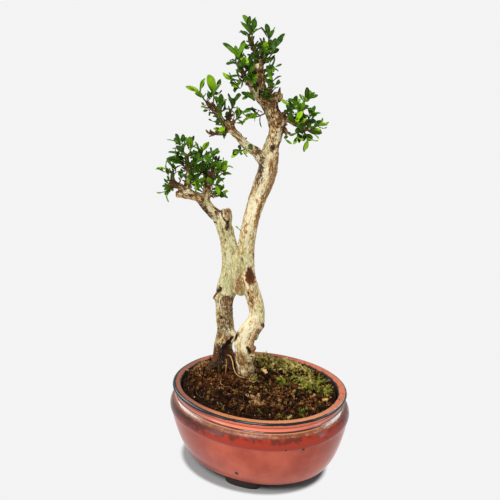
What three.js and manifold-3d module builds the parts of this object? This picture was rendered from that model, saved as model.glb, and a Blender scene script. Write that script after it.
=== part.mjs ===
// A serissa bonsai in a glazed oval pot: pot, soil, one grown trunk and its leafy sprays.
// Millimetres, +Z up. The origin lies on the table under the middle of the pot, +X runs along the
// pot's length and -Y is its front. The tree is planted turned from the pot, in a frame of its own.
import * as THREE from 'three';
import { mergeVertices } from 'three/addons/utils/BufferGeometryUtils.js';
import Module from 'manifold-3d';

const wasm = await Module();
wasm.setup();

// Pot
const RIM_HALF_WIDTH = 52;
const OVAL_EXTRA = 9.5; // how much longer than wide the half outline is
const OVAL_POWER = 2.1; // 2 would be a plain ellipse
const RIM_HEIGHT = 56;
const SHOULDER_HALF_WIDTH = 54;
const BASE_HEIGHT = 5.5; // underside of the body over the table
const BASE_HALF_WIDTH = 40.3;
const FLOOR_TOP = 11;
const FLOOR_HALF_WIDTH = 33;
const INNER_RIM = 46.6;
const INNER_WALL = 45;
const WALL_TOP = 48;
const WALL_BEND = 24; // height at which the inner wall turns in to the floor
const WALL_TAPER = 3.5; // how much narrower the inside is at the bend
const DRAIN_RADIUS = 6;
const POT_SEGMENTS = 40;
const FEET = 3;
const FIRST_FOOT = -76.5; // degrees from the pot's +X
const FOOT_SPREAD = 14; // degrees to each side of a foot's middle, at the table
const FOOT_WIDTH = 7;
const FOOT_INSET = 0.6; // from the edge of the base
const FOOT_SINK = 1.5; // how far a foot runs up into the body
const FOOT_FLARE = 1.15; // its size at the body over that at the table

// Pot body: half width and height, out along the underside, up the outside and over the rim,
// then down the inside and back along the floor to the drain hole
const POT_PROFILE = [
  [DRAIN_RADIUS, BASE_HEIGHT],
  [BASE_HALF_WIDTH, BASE_HEIGHT],
  [42.6, 7.4],
  [45.8, 12.8],
  [49, 21],
  [51.6, 30],
  [53, 37.2],
  [SHOULDER_HALF_WIDTH, 38.4],
  [SHOULDER_HALF_WIDTH, 41.6],
  [52.4, 45.4],
  [49.4, 48.4],
  [48.6, 50.4],
  [50.8, 53.2],
  [RIM_HALF_WIDTH, 55],
  [RIM_HALF_WIDTH - 0.9, RIM_HEIGHT],
  [INNER_RIM, RIM_HEIGHT],
  [INNER_WALL, WALL_TOP],
  [INNER_WALL - WALL_TAPER, WALL_BEND],
  [FLOOR_HALF_WIDTH, FLOOR_TOP],
  [DRAIN_RADIUS, FLOOR_TOP],
  [DRAIN_RADIUS, BASE_HEIGHT],
];

// Soil
const SEAT_GAP = 0.3; // between pieces that touch
const MOUND_HEIGHT = 62;
const MOUND_REACH = new THREE.Vector2(34, 30);
const WALL_SOIL_HEIGHT = 51;
const BACK_SOIL_RISE = 4;
const BACK_SOIL_FROM = -10; // the rise begins at this Y and is whole at the next
const BACK_SOIL_TO = 40;
const COARSE_LUMPS = { height: 0.7, x: 0.27, y: 0.31 }; // waves, in radians to the millimetre
const FINE_LUMPS = { height: 0.4, x: 0.55, y: 0.43 };
const SOIL_RINGS = [0.84, 0.66, 0.46, 0.24]; // rings of the top face, as shares of its half width

// Tree
const TREE_TURN = THREE.MathUtils.degToRad(35); // from the pot's axes
const TREE_FOOT = new THREE.Vector2(-14, 14);
const FLUTE_DEPTH = 0.04; // of a stem's radius
const TRUNK_FLUTE_DEPTH = 0.07;
const TRUNK_RADIUS = 4.4; // a stem wider than this counts as trunk
const LIMB_RADIUS = 3;
const SHOOT_RADIUS = 1;

// Sprays
const TWIG_RADIUS = 0.85;
const TWIG_TAPER = 0.1; // lost from each of its stations to the next
const TWIG_SAG = 0.1; // of its length
const FIRST_PAIR = 0.45; // where along the twig the leaf pairs begin
const PAIR_REACH = 0.5;
const TIP_PAIR = 0.94;
const TURN_JITTER = 0.6; // radians
const SIDE_LEAN = 0.85; // radians from the twig
const TIP_LEAN = 0.4;
const LEAN_SPREAD = 0.4;
const LEAST_LENGTH = 0.8; // of the spray's leaf length
const LENGTH_SPREAD = 0.3;
const ROLL_SPREAD = 0.8;
const LEAF_THICKNESS = 0.65;
const LEAF_WIDTH_SHARE = 0.44; // of its length
const LEAF_MIDRIB = [[0, 0], [0.6, 0.02], [1, -0.1]]; // along and rise, as shares of its length
const LEAF_EDGES = [[0.36, 0.66, 0.03], [0.72, 1, 0.05]]; // along, share of the half width, rise

const MATERIALS = {
  glaze: new THREE.MeshStandardMaterial({ color: 0xa8493a, roughness: 0.18 }),
  soil: new THREE.MeshStandardMaterial({ color: 0x35261a, roughness: 1 }),
  bark: new THREE.MeshStandardMaterial({ color: 0xc2b189, roughness: 0.85 }),
  leaf: new THREE.MeshStandardMaterial({ color: 0x3f7424, roughness: 0.45 }),
};

// Stems: stations of x, y, z and radius, from the root end up
const RIGHT_TRUNK = [
  [-6.5, 5, 34, 3],
  [-7, 6, 48, 4],
  [-7.4, 7, 61, 3.9],
  [-8.8, 7, 69, 4.6],
  [-10.2, 7, 78, 6.6],
  [-10.4, 7.4, 84, 6.5],
  [-6.6, 8.2, 92, 6.2],
  [-2.4, 8.6, 98, 5.9],
  [-0.8, 9.2, 104, 5.4],
  [-2, 10, 111, 5.1],
  [-4.4, 11, 118, 5.2],
  [-7.4, 12.2, 126, 5.8],
  [-8.6, 13, 135, 5.5],
  [-8.6, 13.8, 147, 5.2],
  [-7.2, 14, 158, 5.4],
  [-4.6, 14, 170, 5.3],
  [-1.2, 14, 181, 5.5],
  [2.2, 13.5, 191, 6],
  [5.2, 12.8, 201, 6.4],
  [6, 12.4, 209, 6.2],
  [7.4, 12, 217, 4.8],
  [10.6, 11.2, 227, 4.3],
  [10, 10.8, 235, 5],
  [7.6, 10.4, 242, 4.9],
  [5.4, 10, 247, 4.2],
];
const LEFT_TRUNK = [
  [-24, 25, 34, 4.5],
  [-24, 24, 50, 7],
  [-24.3, 23, 63, 7.6],
  [-25.2, 22, 72, 6.8],
  [-24.2, 21, 80, 6.4],
  [-23, 20, 88, 5.7],
  [-23.2, 18.8, 97, 5.7],
  [-23.2, 17.6, 105, 6],
  [-22.8, 16.6, 112, 6.5],
  [-21.4, 16, 120, 6.4],
  [-20, 15, 128, 6],
  [-19.6, 14, 138, 5.7],
  [-20, 13.3, 148, 5.4],
  [-21, 12.8, 157, 4.9],
  [-22.6, 12.4, 164, 5],
  [-26.6, 12, 171, 4.4],
  [-31.2, 11, 175.4, 3.8],
  [-35, 10, 180, 3.4],
  [-38.8, 9, 184.2, 3.2],
  [-44, 8, 186.6, 3.1],
  [-49, 7, 187.6, 2.7],
  [-53.6, 6, 187.5, 1.8],
];
const BRANCHES = [
  // the graft where the two trunks have grown into one, and the callus over the old cut
  [[-13, 13.4, 117, 3.8], [-13.2, 13.2, 120, 5], [-14, 13, 128, 5.6], [-14.2, 13, 141, 5.4],
    [-14.2, 13.7, 149.8, 2.6]],
  [[-23.4, 12, 163, 4], [-22.2, 10.6, 169, 4.6], [-21.8, 10, 174, 4], [-22, 10, 176.5, 2.6]],
  // left crown
  [[-34.8, 10, 181, 2.6], [-33.8, 11, 189, 2.5], [-33.2, 12, 194, 2.4], [-35, 13, 201, 1.8],
    [-36.2, 13, 208, 1.1]],
  [[-33.2, 12, 191, 2], [-29.8, 8, 198, 1.6], [-30, 5, 207, 1]],
  [[-33.6, 11, 186.5, 2], [-30, 14, 186, 1.5], [-28, 15, 183.5, 0.9]],
  [[-46.4, 8, 187.5, 2.3], [-45.6, 6, 195.5, 2.3], [-44.8, 4, 202.5, 1.9], [-45.8, 4, 209, 1.5],
    [-46, 5, 214, 1]],
  [[-47.6, 7, 188.2, 2.2], [-51.8, 4, 193.6, 1.9], [-56, 1, 195.2, 1.6], [-57.6, 0, 194.6, 0.9]],
  [[-54, 2, 195, 1.5], [-55.2, 3, 200, 1.1], [-54.8, 4, 203.5, 0.7]],
  // middle branch
  [[4, 10, 205, 3.4], [-1.4, 6, 214.4, 3.3], [-7.2, 3, 218.8, 2.7], [-11.4, 1, 223.4, 2.3],
    [-15.4, -1, 228.6, 2.3], [-18.8, -2, 232.4, 2.4], [-23, -4, 236.4, 1.8], [-25.6, -5, 241, 1.6],
    [-30, -7, 245.6, 1.5], [-32.6, -8, 249, 0.9]],
  [[-18.8, -2, 232.4, 1.8], [-19.4, 0, 237.6, 1.3], [-17.8, 3, 241.6, 0.9]],
  [[-18, -2, 232.6, 1.8], [-15.4, -4, 236.4, 1]],
  [[-19.4, -3, 230.4, 1.2], [-23.4, -6, 228.6, 0.9], [-31.4, -9, 229.2, 0.6]],
  // apex
  [[6.6, 10.2, 243, 3.9], [1, 9, 248.8, 3.4], [-2.6, 8, 253.6, 3.2], [-1.2, 7.2, 258.4, 2.3],
    [-1, 7, 263.6, 2], [-0.4, 8, 269.4, 1.8], [-1.6, 9, 274.2, 1.5], [-4, 9, 280.2, 1.2],
    [-6, 8.4, 284, 0.9]],
  [[-2.8, 8, 254.6, 2.3], [-8.2, 2, 260.4, 1.7], [-10.8, 0, 266.6, 1.3], [-11.8, 0, 270, 0.9]],
  [[-0.4, 8, 267, 1.6], [3.2, 12, 271.4, 1.2], [4.8, 13, 276, 0.8]],
  [[6.4, 10, 244, 2.6], [6.2, 9, 251, 1.6], [6, 8, 255.4, 1.3]],
  [[7.4, 11, 243.5, 3], [10.4, 12.6, 248.6, 2.4], [13.4, 13.6, 249.6, 1.9]],
  // right crown
  [[10.6, 11, 229, 3], [15.2, 9, 235, 2.4], [18.6, 7, 235.6, 2.1], [22.2, 5, 233.6, 1.8],
    [26, 4, 231.2, 1.4], [30.6, 4, 229, 0.9]],
  [[20.8, 6, 234.4, 1.6], [24.4, 2, 239, 0.9]],
  [[15.6, 8.4, 235, 1.9], [14.6, 5, 239.8, 1.5]],
  [[12.8, 11.6, 231, 2], [16.6, 10, 228, 1.5], [17.2, 9, 225.4, 0.8]],
  // knobs: over the left leg's bark plate, the old cut low on the right trunk, stubs and scars
  [[-23, 16.6, 113, 3.4], [-28.6, 14.4, 114, 2.2], [-30.6, 14, 112.6, 1.2]],
  [[-8, 5, 73.5, 3.4], [-4.6, 3, 74.4, 3.1], [-3.2, 2.4, 74, 2.2]],
  [[-20.4, 17.6, 89, 3], [-16.6, 15.4, 86, 1.8], [-17.8, 14.8, 81, 1.3]],
  [[-4, 8, 93, 3.4], [1.4, 7.4, 95.4, 1.8], [3.4, 7, 96.2, 1]],
  // roots that spread over the soil from the foot of each trunk
  [[-8, 6.6, 67, 2.4], [-4.6, 3.4, 61.6, 1.9], [0.4, -1, 57.6, 1.5], [4.4, -4, 53, 0.9]],
  [[-9, 6.2, 66, 2], [-12.6, 2.4, 61, 1.5], [-15, -3.4, 57, 1.2], [-16, -8, 52.6, 0.8]],
  [[-7, 8, 66, 2.2], [-2.4, 10.6, 61.6, 1.8], [3.6, 11.6, 59, 1.5], [8.6, 11, 54, 0.9]],
  [[-26, 22, 68, 4.2], [-31.4, 19, 61.4, 3], [-36, 15, 56, 1.9], [-39, 12, 51.6, 1]],
  [[-23.6, 21, 67, 4], [-20.4, 14.4, 61.6, 2.4], [-22, 8.4, 57.6, 1.6], [-24.4, 3, 53, 0.9]],
  [[-22, 24, 66, 4], [-15.6, 26.6, 61, 2.4], [-10, 29, 57, 1.4], [-6, 31, 52.6, 0.9]],
];

// Leafy sprays: crown, where the twig leaves the wood, its tip, leaf pairs, leaf length, seed
const SPRAYS = [
  ['apex', [-5.6, 8.4, 283], [-6.4, 7.6, 291.6], 2, 10.6, 125],
  ['apex', [-4.6, 9, 280.4], [-4.6, 4.4, 287], 1, 9.6, 488],
  ['apex', [4.6, 12.9, 275.2], [5.6, 13, 283.4], 2, 9.6, 316],
  ['apex', [3.2, 12, 271], [10, 9.6, 279.4], 1, 9, 98],
  ['apex', [0, 8.6, 269], [3.2, 5, 276], 1, 9, 147],
  ['apex', [-11.6, 0, 269.4], [-12.8, -2, 274], 2, 11, 643],
  ['apex', [-11, 0.4, 267], [-14.6, 6, 270], 1, 7.5, 578],
  ['apex', [-0.8, 8.6, 272.4], [1.6, 16, 276.6], 2, 7, 195],
  ['apex', [-0.6, 7.6, 266], [6.4, 7, 267.2], 2, 8, 367],
  ['apex', [-1, 7, 260.8], [-4.6, 0, 260.6], 2, 7, 337],
  ['apex', [-8.4, 1.8, 260.8], [-15, -1, 261], 2, 8, 803],
  ['apex', [-3.6, 7, 253], [-6.6, 2, 250.6], 2, 6.5, 68],
  ['apex', [6, 8.4, 253.6], [8, 7, 258.6], 2, 7, 616],
  ['apex', [-0.9, 8, 267], [-5.2, 16, 267.6], 2, 8, 803],
  ['apex', [-1, 7, 262.6], [3, 16.6, 261.6], 2, 7.5, 691],
  ['middle', [-32, -7.8, 248], [-36, -9, 254], 2, 9, 565],
  ['middle', [-28.6, -6.4, 244.2], [-27.8, -8, 252.6], 1, 11.5, 712],
  ['middle', [-25, -4.8, 240], [-23.6, -9, 246.6], 2, 8, 761],
  ['middle', [-18, 2.6, 241], [-16.4, 4, 245.6], 2, 8.5, 850],
  ['middle', [-15.8, -3.8, 236], [-12.6, -7, 240.6], 2, 7.5, 807],
  ['middle', [-20.6, -2.8, 234.4], [-23.6, -8.4, 232.4], 2, 6.5, 117],
  ['middle', [-24, -4.4, 238], [-26, 3, 241], 2, 7.5, 465],
  ['middle', [7.6, 10, 241.6], [-7.4, 3.4, 237.4], 3, 7.5, 168],
  ['middle', [-7.8, 2.8, 219.2], [-12, -1, 216.6], 2, 7.5, 316],
  ['right', [23.6, 2.6, 238.4], [27.2, 0, 247], 3, 9.5, 182],
  ['right', [19, 6.8, 235.4], [20.8, 5, 243], 2, 9, 189],
  ['right', [24.8, 3.8, 231.8], [31.6, 2, 238], 2, 8, 52],
  ['right', [30, 4, 229.2], [36, 3, 232], 2, 8.5, 35],
  ['right', [27, 4, 230.6], [29.8, 0.4, 225.6], 2, 9, 874],
  ['right', [21.4, 5.4, 233.9], [23, -3, 236.6], 2, 8, 882],
  ['right', [24.4, 4.4, 232], [23.6, 0, 226], 2, 7, 252],
  ['right', [22, 5.2, 233.6], [24.6, 13, 237], 2, 8, 803],
  ['right', [28.6, 4, 230], [31.4, 12, 229.4], 2, 8, 682],
  ['left', [-46, 5, 213], [-50, 5, 219.4], 3, 8.5, 362],
  ['left', [-45.8, 4.4, 210.4], [-43.4, 2, 217], 2, 8.5, 524],
  ['left', [-45.6, 4, 207.6], [-51.2, 2, 211.2], 2, 8.5, 161],
  ['left', [-44.8, 4, 202.4], [-39.8, 1.4, 208.6], 2, 8.5, 52],
  ['left', [-36, 13, 206.4], [-36.8, 11, 213.4], 3, 8.5, 501],
  ['left', [-30, 5.4, 206], [-29.4, 2, 212.6], 2, 8, 471],
  ['left', [-30, 6.4, 203], [-24.4, 3.4, 206.4], 2, 8.5, 362],
  ['left', [-30, 8.4, 197.6], [-24, 9.6, 200], 2, 8, 523],
  ['left', [-31.4, 9.8, 195], [-27.8, 3, 194.4], 2, 8, 227],
  ['left', [-30.4, 13.6, 186], [-25.6, 11, 188], 2, 7.5, 395],
  ['left', [-35, 13, 200], [-38.4, 7, 203], 2, 8, 140],
  ['left', [-45, 4.6, 200], [-41, 0, 197.6], 2, 8, 676],
  ['left', [-55, 3.4, 201.6], [-58.6, 1, 205], 1, 8, 393],
  ['left', [-56.6, 0.8, 195], [-58.6, -2, 192], 2, 8, 3],
  ['left', [-34.8, 13, 200.4], [-33.4, 20.6, 202.6], 2, 8, 425],
  ['left', [-45.6, 6, 195.4], [-43.6, 13.4, 195.8], 2, 8, 616],
];

// A closed three.js geometry as a solid that can be joined and cut
function toSolid(geometry) {
  const bare = geometry.index ? geometry.toNonIndexed() : geometry.clone();
  bare.deleteAttribute('normal');
  bare.deleteAttribute('uv');
  const welded = mergeVertices(bare, 1e-4);
  return new wasm.Manifold(new wasm.Mesh({
    numProp: 3,
    vertProperties: welded.attributes.position.array,
    triVerts: new Uint32Array(welded.index.array),
  }));
}

// The largest body of a joined solid, as a geometry: what a cut leaves loose is dropped
function toGeometry(solid) {
  const bodies = solid.decompose().sort((a, b) => b.volume() - a.volume());
  const mesh = bodies[0].getMesh();
  const geometry = new THREE.BufferGeometry();
  geometry.setAttribute('position', new THREE.BufferAttribute(mesh.vertProperties, 3));
  geometry.setIndex(new THREE.BufferAttribute(mesh.triVerts, 1));
  geometry.computeVertexNormals();
  return geometry;
}

function join(solids) {
  return solids.reduce((all, one) => all.add(one));
}

// The same small generator everywhere, so that a seed always gives the same spray
function generator(seed) {
  let state = seed * 7919 + 17;
  return () => {
    state = (state * 48271) % 2147483647;
    return state / 2147483647;
  };
}

// A point of the pot's outline at a half width and an angle
function oval(halfWidth, angle) {
  const halfLength = halfWidth + OVAL_EXTRA * Math.min(1, halfWidth / BASE_HALF_WIDTH);
  const along = Math.cos(angle);
  const across = Math.sin(angle);
  return new THREE.Vector2(
    halfLength * Math.sign(along) * Math.abs(along) ** (2 / OVAL_POWER),
    halfWidth * Math.sign(across) * Math.abs(across) ** (2 / OVAL_POWER),
  );
}

// A lathe turned over the oval outline: profile points are half width and height
function turnedOval(profile, segments) {
  const points = profile.map(([halfWidth, z]) => new THREE.Vector2(halfWidth, z));
  const geometry = new THREE.LatheGeometry(points, segments);
  geometry.rotateX(Math.PI / 2);
  const place = geometry.attributes.position;
  for (let i = 0; i < place.count; i++) {
    const halfWidth = Math.hypot(place.getX(i), place.getY(i));
    if (halfWidth < 1e-6) continue;
    const point = oval(halfWidth, Math.atan2(place.getY(i), place.getX(i)));
    place.setXY(i, point.x, point.y);
  }
  return geometry;
}

// One foot: a low bean that follows the edge of the base, wider at the body than at the table
function foot(middle) {
  const half = THREE.MathUtils.degToRad(FOOT_SPREAD);
  const turns = [-1, -0.5, 0, 0.5, 1].map((share) => middle + share * half);
  const outer = turns.map((turn) => oval(BASE_HALF_WIDTH - FOOT_INSET, turn));
  const inner = turns.map((turn) => oval(BASE_HALF_WIDTH - FOOT_WIDTH, turn)).reverse();
  const outline = new THREE.Shape([...outer, ...inner]);
  const depth = BASE_HEIGHT + FOOT_SINK;
  const geometry = new THREE.ExtrudeGeometry(outline, { depth, bevelEnabled: false });
  const place = geometry.attributes.position;
  const centre = oval(BASE_HALF_WIDTH - FOOT_WIDTH / 2, middle);
  for (let i = 0; i < place.count; i++) {
    if (place.getZ(i) < depth / 2) continue;
    place.setX(i, centre.x + (place.getX(i) - centre.x) * FOOT_FLARE);
    place.setY(i, centre.y + (place.getY(i) - centre.y) * FOOT_FLARE);
  }
  return geometry;
}

function potSolid() {
  const body = turnedOval(POT_PROFILE, POT_SEGMENTS);
  const turn = (2 * Math.PI) / FEET;
  const first = THREE.MathUtils.degToRad(FIRST_FOOT);
  const feet = Array.from({ length: FEET }, (_, i) => toSolid(foot(first + i * turn)));
  return join([toSolid(body), ...feet]);
}

// Height of the soil over the table: a mound round the trunks, higher at the back, gently lumpy
function soilHeight(x, y) {
  const middle = TREE_FOOT.clone().rotateAround(new THREE.Vector2(), TREE_TURN);
  const away = Math.hypot((x - middle.x) / MOUND_REACH.x, (y - middle.y) / MOUND_REACH.y);
  const mound = (MOUND_HEIGHT - WALL_SOIL_HEIGHT) * Math.exp(-away * away);
  const back = BACK_SOIL_RISE * THREE.MathUtils.smoothstep(y, BACK_SOIL_FROM, BACK_SOIL_TO);
  const coarse = COARSE_LUMPS.height * Math.sin(x * COARSE_LUMPS.x + 1) * Math.cos(y * COARSE_LUMPS.y);
  const fine = FINE_LUMPS.height * Math.sin(x * FINE_LUMPS.x - y * FINE_LUMPS.y);
  return WALL_SOIL_HEIGHT + mound + back * (1 - Math.exp(-away)) + coarse + fine;
}

function soilSolid(holes) {
  const wall = INNER_WALL - SEAT_GAP;
  const top = SOIL_RINGS.map((share) => [wall * share, MOUND_HEIGHT]);
  const geometry = turnedOval([
    [0, FLOOR_TOP + SEAT_GAP],
    [FLOOR_HALF_WIDTH - SEAT_GAP, FLOOR_TOP + SEAT_GAP],
    [wall - WALL_TAPER, WALL_BEND],
    [wall, WALL_TOP],
    ...top,
    [0, MOUND_HEIGHT],
  ], POT_SEGMENTS);
  const place = geometry.attributes.position;
  for (let i = 0; i < place.count; i++) {
    if (place.getZ(i) > WALL_BEND) place.setZ(i, soilHeight(place.getX(i), place.getY(i)));
  }
  return toSolid(geometry).subtract(holes);
}

// How many sides a stem has: few on a twig, enough on a trunk to look round
function stemSides(widest) {
  if (widest > TRUNK_RADIUS) return 12;
  if (widest > LIMB_RADIUS) return 8;
  return widest > SHOOT_RADIUS ? 6 : 4;
}

// A stem: a capped cylinder bent through its stations, with fluted sides. Extra fattens it all over.
function stem(stations, extra = 0) {
  const widest = Math.max(...stations.map(([, , , radius]) => radius));
  const depth = widest > TRUNK_RADIUS ? TRUNK_FLUTE_DEPTH : FLUTE_DEPTH;
  const last = stations.length - 1;
  const geometry = new THREE.CylinderGeometry(1, 1, 1, stemSides(widest), last);
  const frames = stemFrames(stations);
  const place = geometry.attributes.position;
  for (let i = 0; i < place.count; i++) {
    const at = Math.round((place.getY(i) + 0.5) * last);
    const angle = Math.atan2(place.getX(i), place.getZ(i));
    const fluted = 1 + depth * (Math.sin(3 * angle + at * 0.8) + 0.6 * Math.cos(2 * angle - at * 1.7));
    const onAxis = Math.hypot(place.getX(i), place.getZ(i)) < 0.5;
    const reach = onAxis ? 0 : (stations[at][3] + extra) * fluted;
    let beyond = 0;
    if (at === 0) beyond = -extra;
    if (at === last) beyond = extra;
    const point = frames[at].centre.clone()
      .addScaledVector(frames[at].side, reach * Math.sin(angle))
      .addScaledVector(frames[at].front, reach * Math.cos(angle))
      .addScaledVector(frames[at].along, beyond);
    place.setXYZ(i, point.x, point.y, point.z);
  }
  return geometry;
}

// A frame at each station, turned as little as it can be from the one before
function stemFrames(stations) {
  const centres = stations.map(([x, y, z]) => new THREE.Vector3(x, y, z));
  const curve = new THREE.CatmullRomCurve3(centres);
  const side = new THREE.Vector3(1, 0, 0);
  return centres.map((centre, at) => {
    const along = curve.getTangent(at / (centres.length - 1));
    side.addScaledVector(along, -side.dot(along)).normalize();
    const front = new THREE.Vector3().crossVectors(side, along);
    return { centre, along, side: side.clone(), front };
  });
}

// A leaf blade in its own frame: +X along the midrib, +Z its upper face. It widens past the middle,
// arches down to the tip and is folded a little along the midrib.
function leafBlade(length, width) {
  const top = LEAF_MIDRIB.map(([along, rise]) => [along * length, 0, rise * length]);
  for (const across of [width / 2, -width / 2]) {
    for (const [along, share, rise] of LEAF_EDGES) {
      top.push([along * length, across * share, rise * length]);
    }
  }
  const faces = [[0, 5, 3], [3, 5, 1], [3, 1, 4], [4, 1, 2], [5, 6, 1], [6, 2, 1]];
  const count = top.length;
  const under = faces.map(([a, b, c]) => [a + count, c + count, b + count]);
  const rim = [0, 5, 6, 2, 4, 3];
  const wall = rim.flatMap((from, i) => {
    const to = rim[(i + 1) % rim.length];
    return [[from, from + count, to + count], [from, to + count, to]];
  });
  const points = [...top, ...top.map(([x, y, z]) => [x, y, z - LEAF_THICKNESS])];
  const geometry = new THREE.BufferGeometry();
  geometry.setAttribute('position', new THREE.Float32BufferAttribute(points.flat(), 3));
  geometry.setIndex([...faces, ...under, ...wall].flat());
  return geometry;
}

// The twig of a spray: it leaves the wood, sags a little and turns up to its tip
function twigStations([, root, tip]) {
  const from = new THREE.Vector3(...root);
  const to = new THREE.Vector3(...tip);
  const middle = from.clone().lerp(to, 0.5);
  middle.z -= TWIG_SAG * from.distanceTo(to);
  return [from, middle, to].map((point, i) => [...point.toArray(), TWIG_RADIUS - TWIG_TAPER * i]);
}

// Where the leaves of a spray sit: opposite pairs, each pair turned from the last
function leafPlaces(spray) {
  const [, , , pairs, leafLength, seed] = spray;
  const draw = generator(seed);
  const points = twigStations(spray).map(([x, y, z]) => new THREE.Vector3(x, y, z));
  const curve = new THREE.CatmullRomCurve3(points);
  const places = [];
  const firstTurn = draw() * Math.PI;
  for (let pair = 0; pair < pairs; pair++) {
    const last = pair === pairs - 1;
    const along = last ? TIP_PAIR : FIRST_PAIR + (PAIR_REACH * pair) / pairs;
    const axis = curve.getTangent(along);
    const side = new THREE.Vector3(axis.z, 0, -axis.x).normalize();
    for (const half of [0, 1]) {
      const turn = firstTurn + (pair * Math.PI) / 2 + half * Math.PI + (draw() - 0.5) * TURN_JITTER;
      const lean = (last ? TIP_LEAN : SIDE_LEAN) + draw() * LEAN_SPREAD;
      const length = leafLength * (LEAST_LENGTH + draw() * LENGTH_SPREAD);
      const roll = (draw() - 0.5) * ROLL_SPREAD;
      const out = side.clone().applyAxisAngle(axis, turn);
      const heading = axis.clone().multiplyScalar(Math.cos(lean)).addScaledVector(out, Math.sin(lean));
      const up = axis.clone().multiplyScalar(Math.sin(lean)).addScaledVector(out, -Math.cos(lean));
      up.applyAxisAngle(heading, roll);
      const left = new THREE.Vector3().crossVectors(up, heading);
      const base = curve.getPoint(along).addScaledVector(up, LEAF_THICKNESS / 2);
      places.push({ length, frame: new THREE.Matrix4().makeBasis(heading, left, up).setPosition(base) });
    }
  }
  return places;
}

function spraySolid(spray) {
  const leaves = leafPlaces(spray).map(({ length, frame }) =>
    toSolid(leafBlade(length, length * LEAF_WIDTH_SHARE).applyMatrix4(frame)));
  return join([toSolid(stem(twigStations(spray))), ...leaves]);
}

const bonsai = new THREE.Group();
const tree = new THREE.Group();
tree.rotation.z = TREE_TURN;
bonsai.add(tree);

function addMesh(parent, name, solid, material) {
  const mesh = new THREE.Mesh(toGeometry(solid), material);
  mesh.name = name;
  parent.add(mesh);
}

// The soil and the sprays are cut back from the wood by a slightly fatter copy of it
const stems = [RIGHT_TRUNK, LEFT_TRUNK, ...BRANCHES];
const fatWood = join(stems.map((stations) => toSolid(stem(stations, SEAT_GAP))));
const holes = join(stems.map((stations) => toSolid(stem(stations, SEAT_GAP).rotateZ(TREE_TURN))));

addMesh(bonsai, 'pot', potSolid(), MATERIALS.glaze);
addMesh(bonsai, 'soil', soilSolid(holes), MATERIALS.soil);
addMesh(tree, 'trunk', join(stems.map((stations) => toSolid(stem(stations)))), MATERIALS.bark);
const counts = {};
for (const spray of SPRAYS) {
  const crown = spray[0];
  counts[crown] = (counts[crown] ?? 0) + 1;
  const number = String(counts[crown]).padStart(2, '0');
  addMesh(tree, `spray_${crown}_${number}`, spraySolid(spray).subtract(fatWood), MATERIALS.leaf);
}

export default bonsai;
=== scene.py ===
"""A serissa bonsai in its glazed oval pot: the finish of every surface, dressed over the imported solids.
Sizes are millimetres and turn into metres as each mesh is made. The tree stands turned in its pot, so
the wood and leaves are placed in a frame of their own, as the solids are."""
import functools
import math
import random

import bpy
import numpy as np
from mathutils import Matrix, Vector, noise


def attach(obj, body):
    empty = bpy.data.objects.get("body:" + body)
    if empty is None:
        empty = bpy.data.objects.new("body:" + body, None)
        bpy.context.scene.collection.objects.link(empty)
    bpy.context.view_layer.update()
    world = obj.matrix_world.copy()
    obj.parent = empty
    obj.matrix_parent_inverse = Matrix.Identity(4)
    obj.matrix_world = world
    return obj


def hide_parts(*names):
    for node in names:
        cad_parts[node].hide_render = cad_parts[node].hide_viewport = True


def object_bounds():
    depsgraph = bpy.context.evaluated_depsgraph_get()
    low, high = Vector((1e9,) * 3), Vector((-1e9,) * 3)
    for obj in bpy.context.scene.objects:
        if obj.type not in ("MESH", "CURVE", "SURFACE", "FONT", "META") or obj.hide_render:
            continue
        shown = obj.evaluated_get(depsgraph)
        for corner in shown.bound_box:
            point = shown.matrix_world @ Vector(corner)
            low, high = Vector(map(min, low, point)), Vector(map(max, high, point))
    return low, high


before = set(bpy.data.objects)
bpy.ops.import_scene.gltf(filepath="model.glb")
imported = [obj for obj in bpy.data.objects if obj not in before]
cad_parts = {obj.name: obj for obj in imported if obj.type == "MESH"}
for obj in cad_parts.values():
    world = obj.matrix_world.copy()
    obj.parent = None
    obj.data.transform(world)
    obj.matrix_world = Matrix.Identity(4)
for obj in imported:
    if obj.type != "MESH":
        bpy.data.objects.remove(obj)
cad_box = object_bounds()

# ---------------------------------------------------------------------------------------------------
# Studio: a white floor that glows evenly, under an even white sky, with one broad soft key from high in
# front. In an oval round the foot of the pot, set a little to the camera's left, the glow gives way to a
# dark grey floor that takes the real shadow there: a painted contact shadow. Two tall strip boxes draw
# reflections down the glazed sides, and two long boxes behind, which light nothing but gloss, draw the
# bright line round the neck of the pot.
MM = 0.001
CAMERA_AZIMUTH = math.radians(35)
CAMERA_ELEVATION = math.radians(17.2)
CAMERA_DISTANCE = 0.56
CAMERA_TARGET = Vector((-0.00483, -0.00338, 0.1518))
CAMERA_LENS = 62.1
CAMERA_NEAR = 0.02
FLOOR_REACH = 12.0
FLOOR_SHADE = 0.3
FLOOR_GLOW = 0.9
FLOOR_GLOW_OVAL = (0.0523, 0.0423, 1.0)
FLOOR_GLOW_MIDDLE = (-0.0032, -0.0026, 0.0)
FLOOR_GLOW_EDGE = (0.97, 1.06)
SKY_LIGHT = 0.52
SKY_SEEN = 0.9
KEY_STRENGTH = 2.95
KEY_SOFTNESS = math.radians(25)
KEY_DIRECTION = Vector((-0.02, 0.64, -0.77))
STRIP_TURNS = (math.radians(-62), math.radians(70))
STRIP_SIZE = (0.16, 0.7)
STRIP_DISTANCE = 0.75
STRIP_POWER = 1.0
NECK_BOX_TURNS = (math.radians(-118), math.radians(118))
NECK_BOX_RISE = math.radians(38)
NECK_BOX_SIZE = (0.9, 0.3)
NECK_BOX_DISTANCE = 0.9
NECK_BOX_POWER = 5.5


def looking_from(azimuth, elevation):
    """The direction from the object towards a camera or lamp."""
    flat = math.cos(elevation)
    return Vector((math.sin(azimuth) * flat, -math.cos(azimuth) * flat, math.sin(elevation)))


def show(name, data):
    """A new object in the scene."""
    thing = bpy.data.objects.new(name, data)
    bpy.context.scene.collection.objects.link(thing)
    return thing


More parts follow.
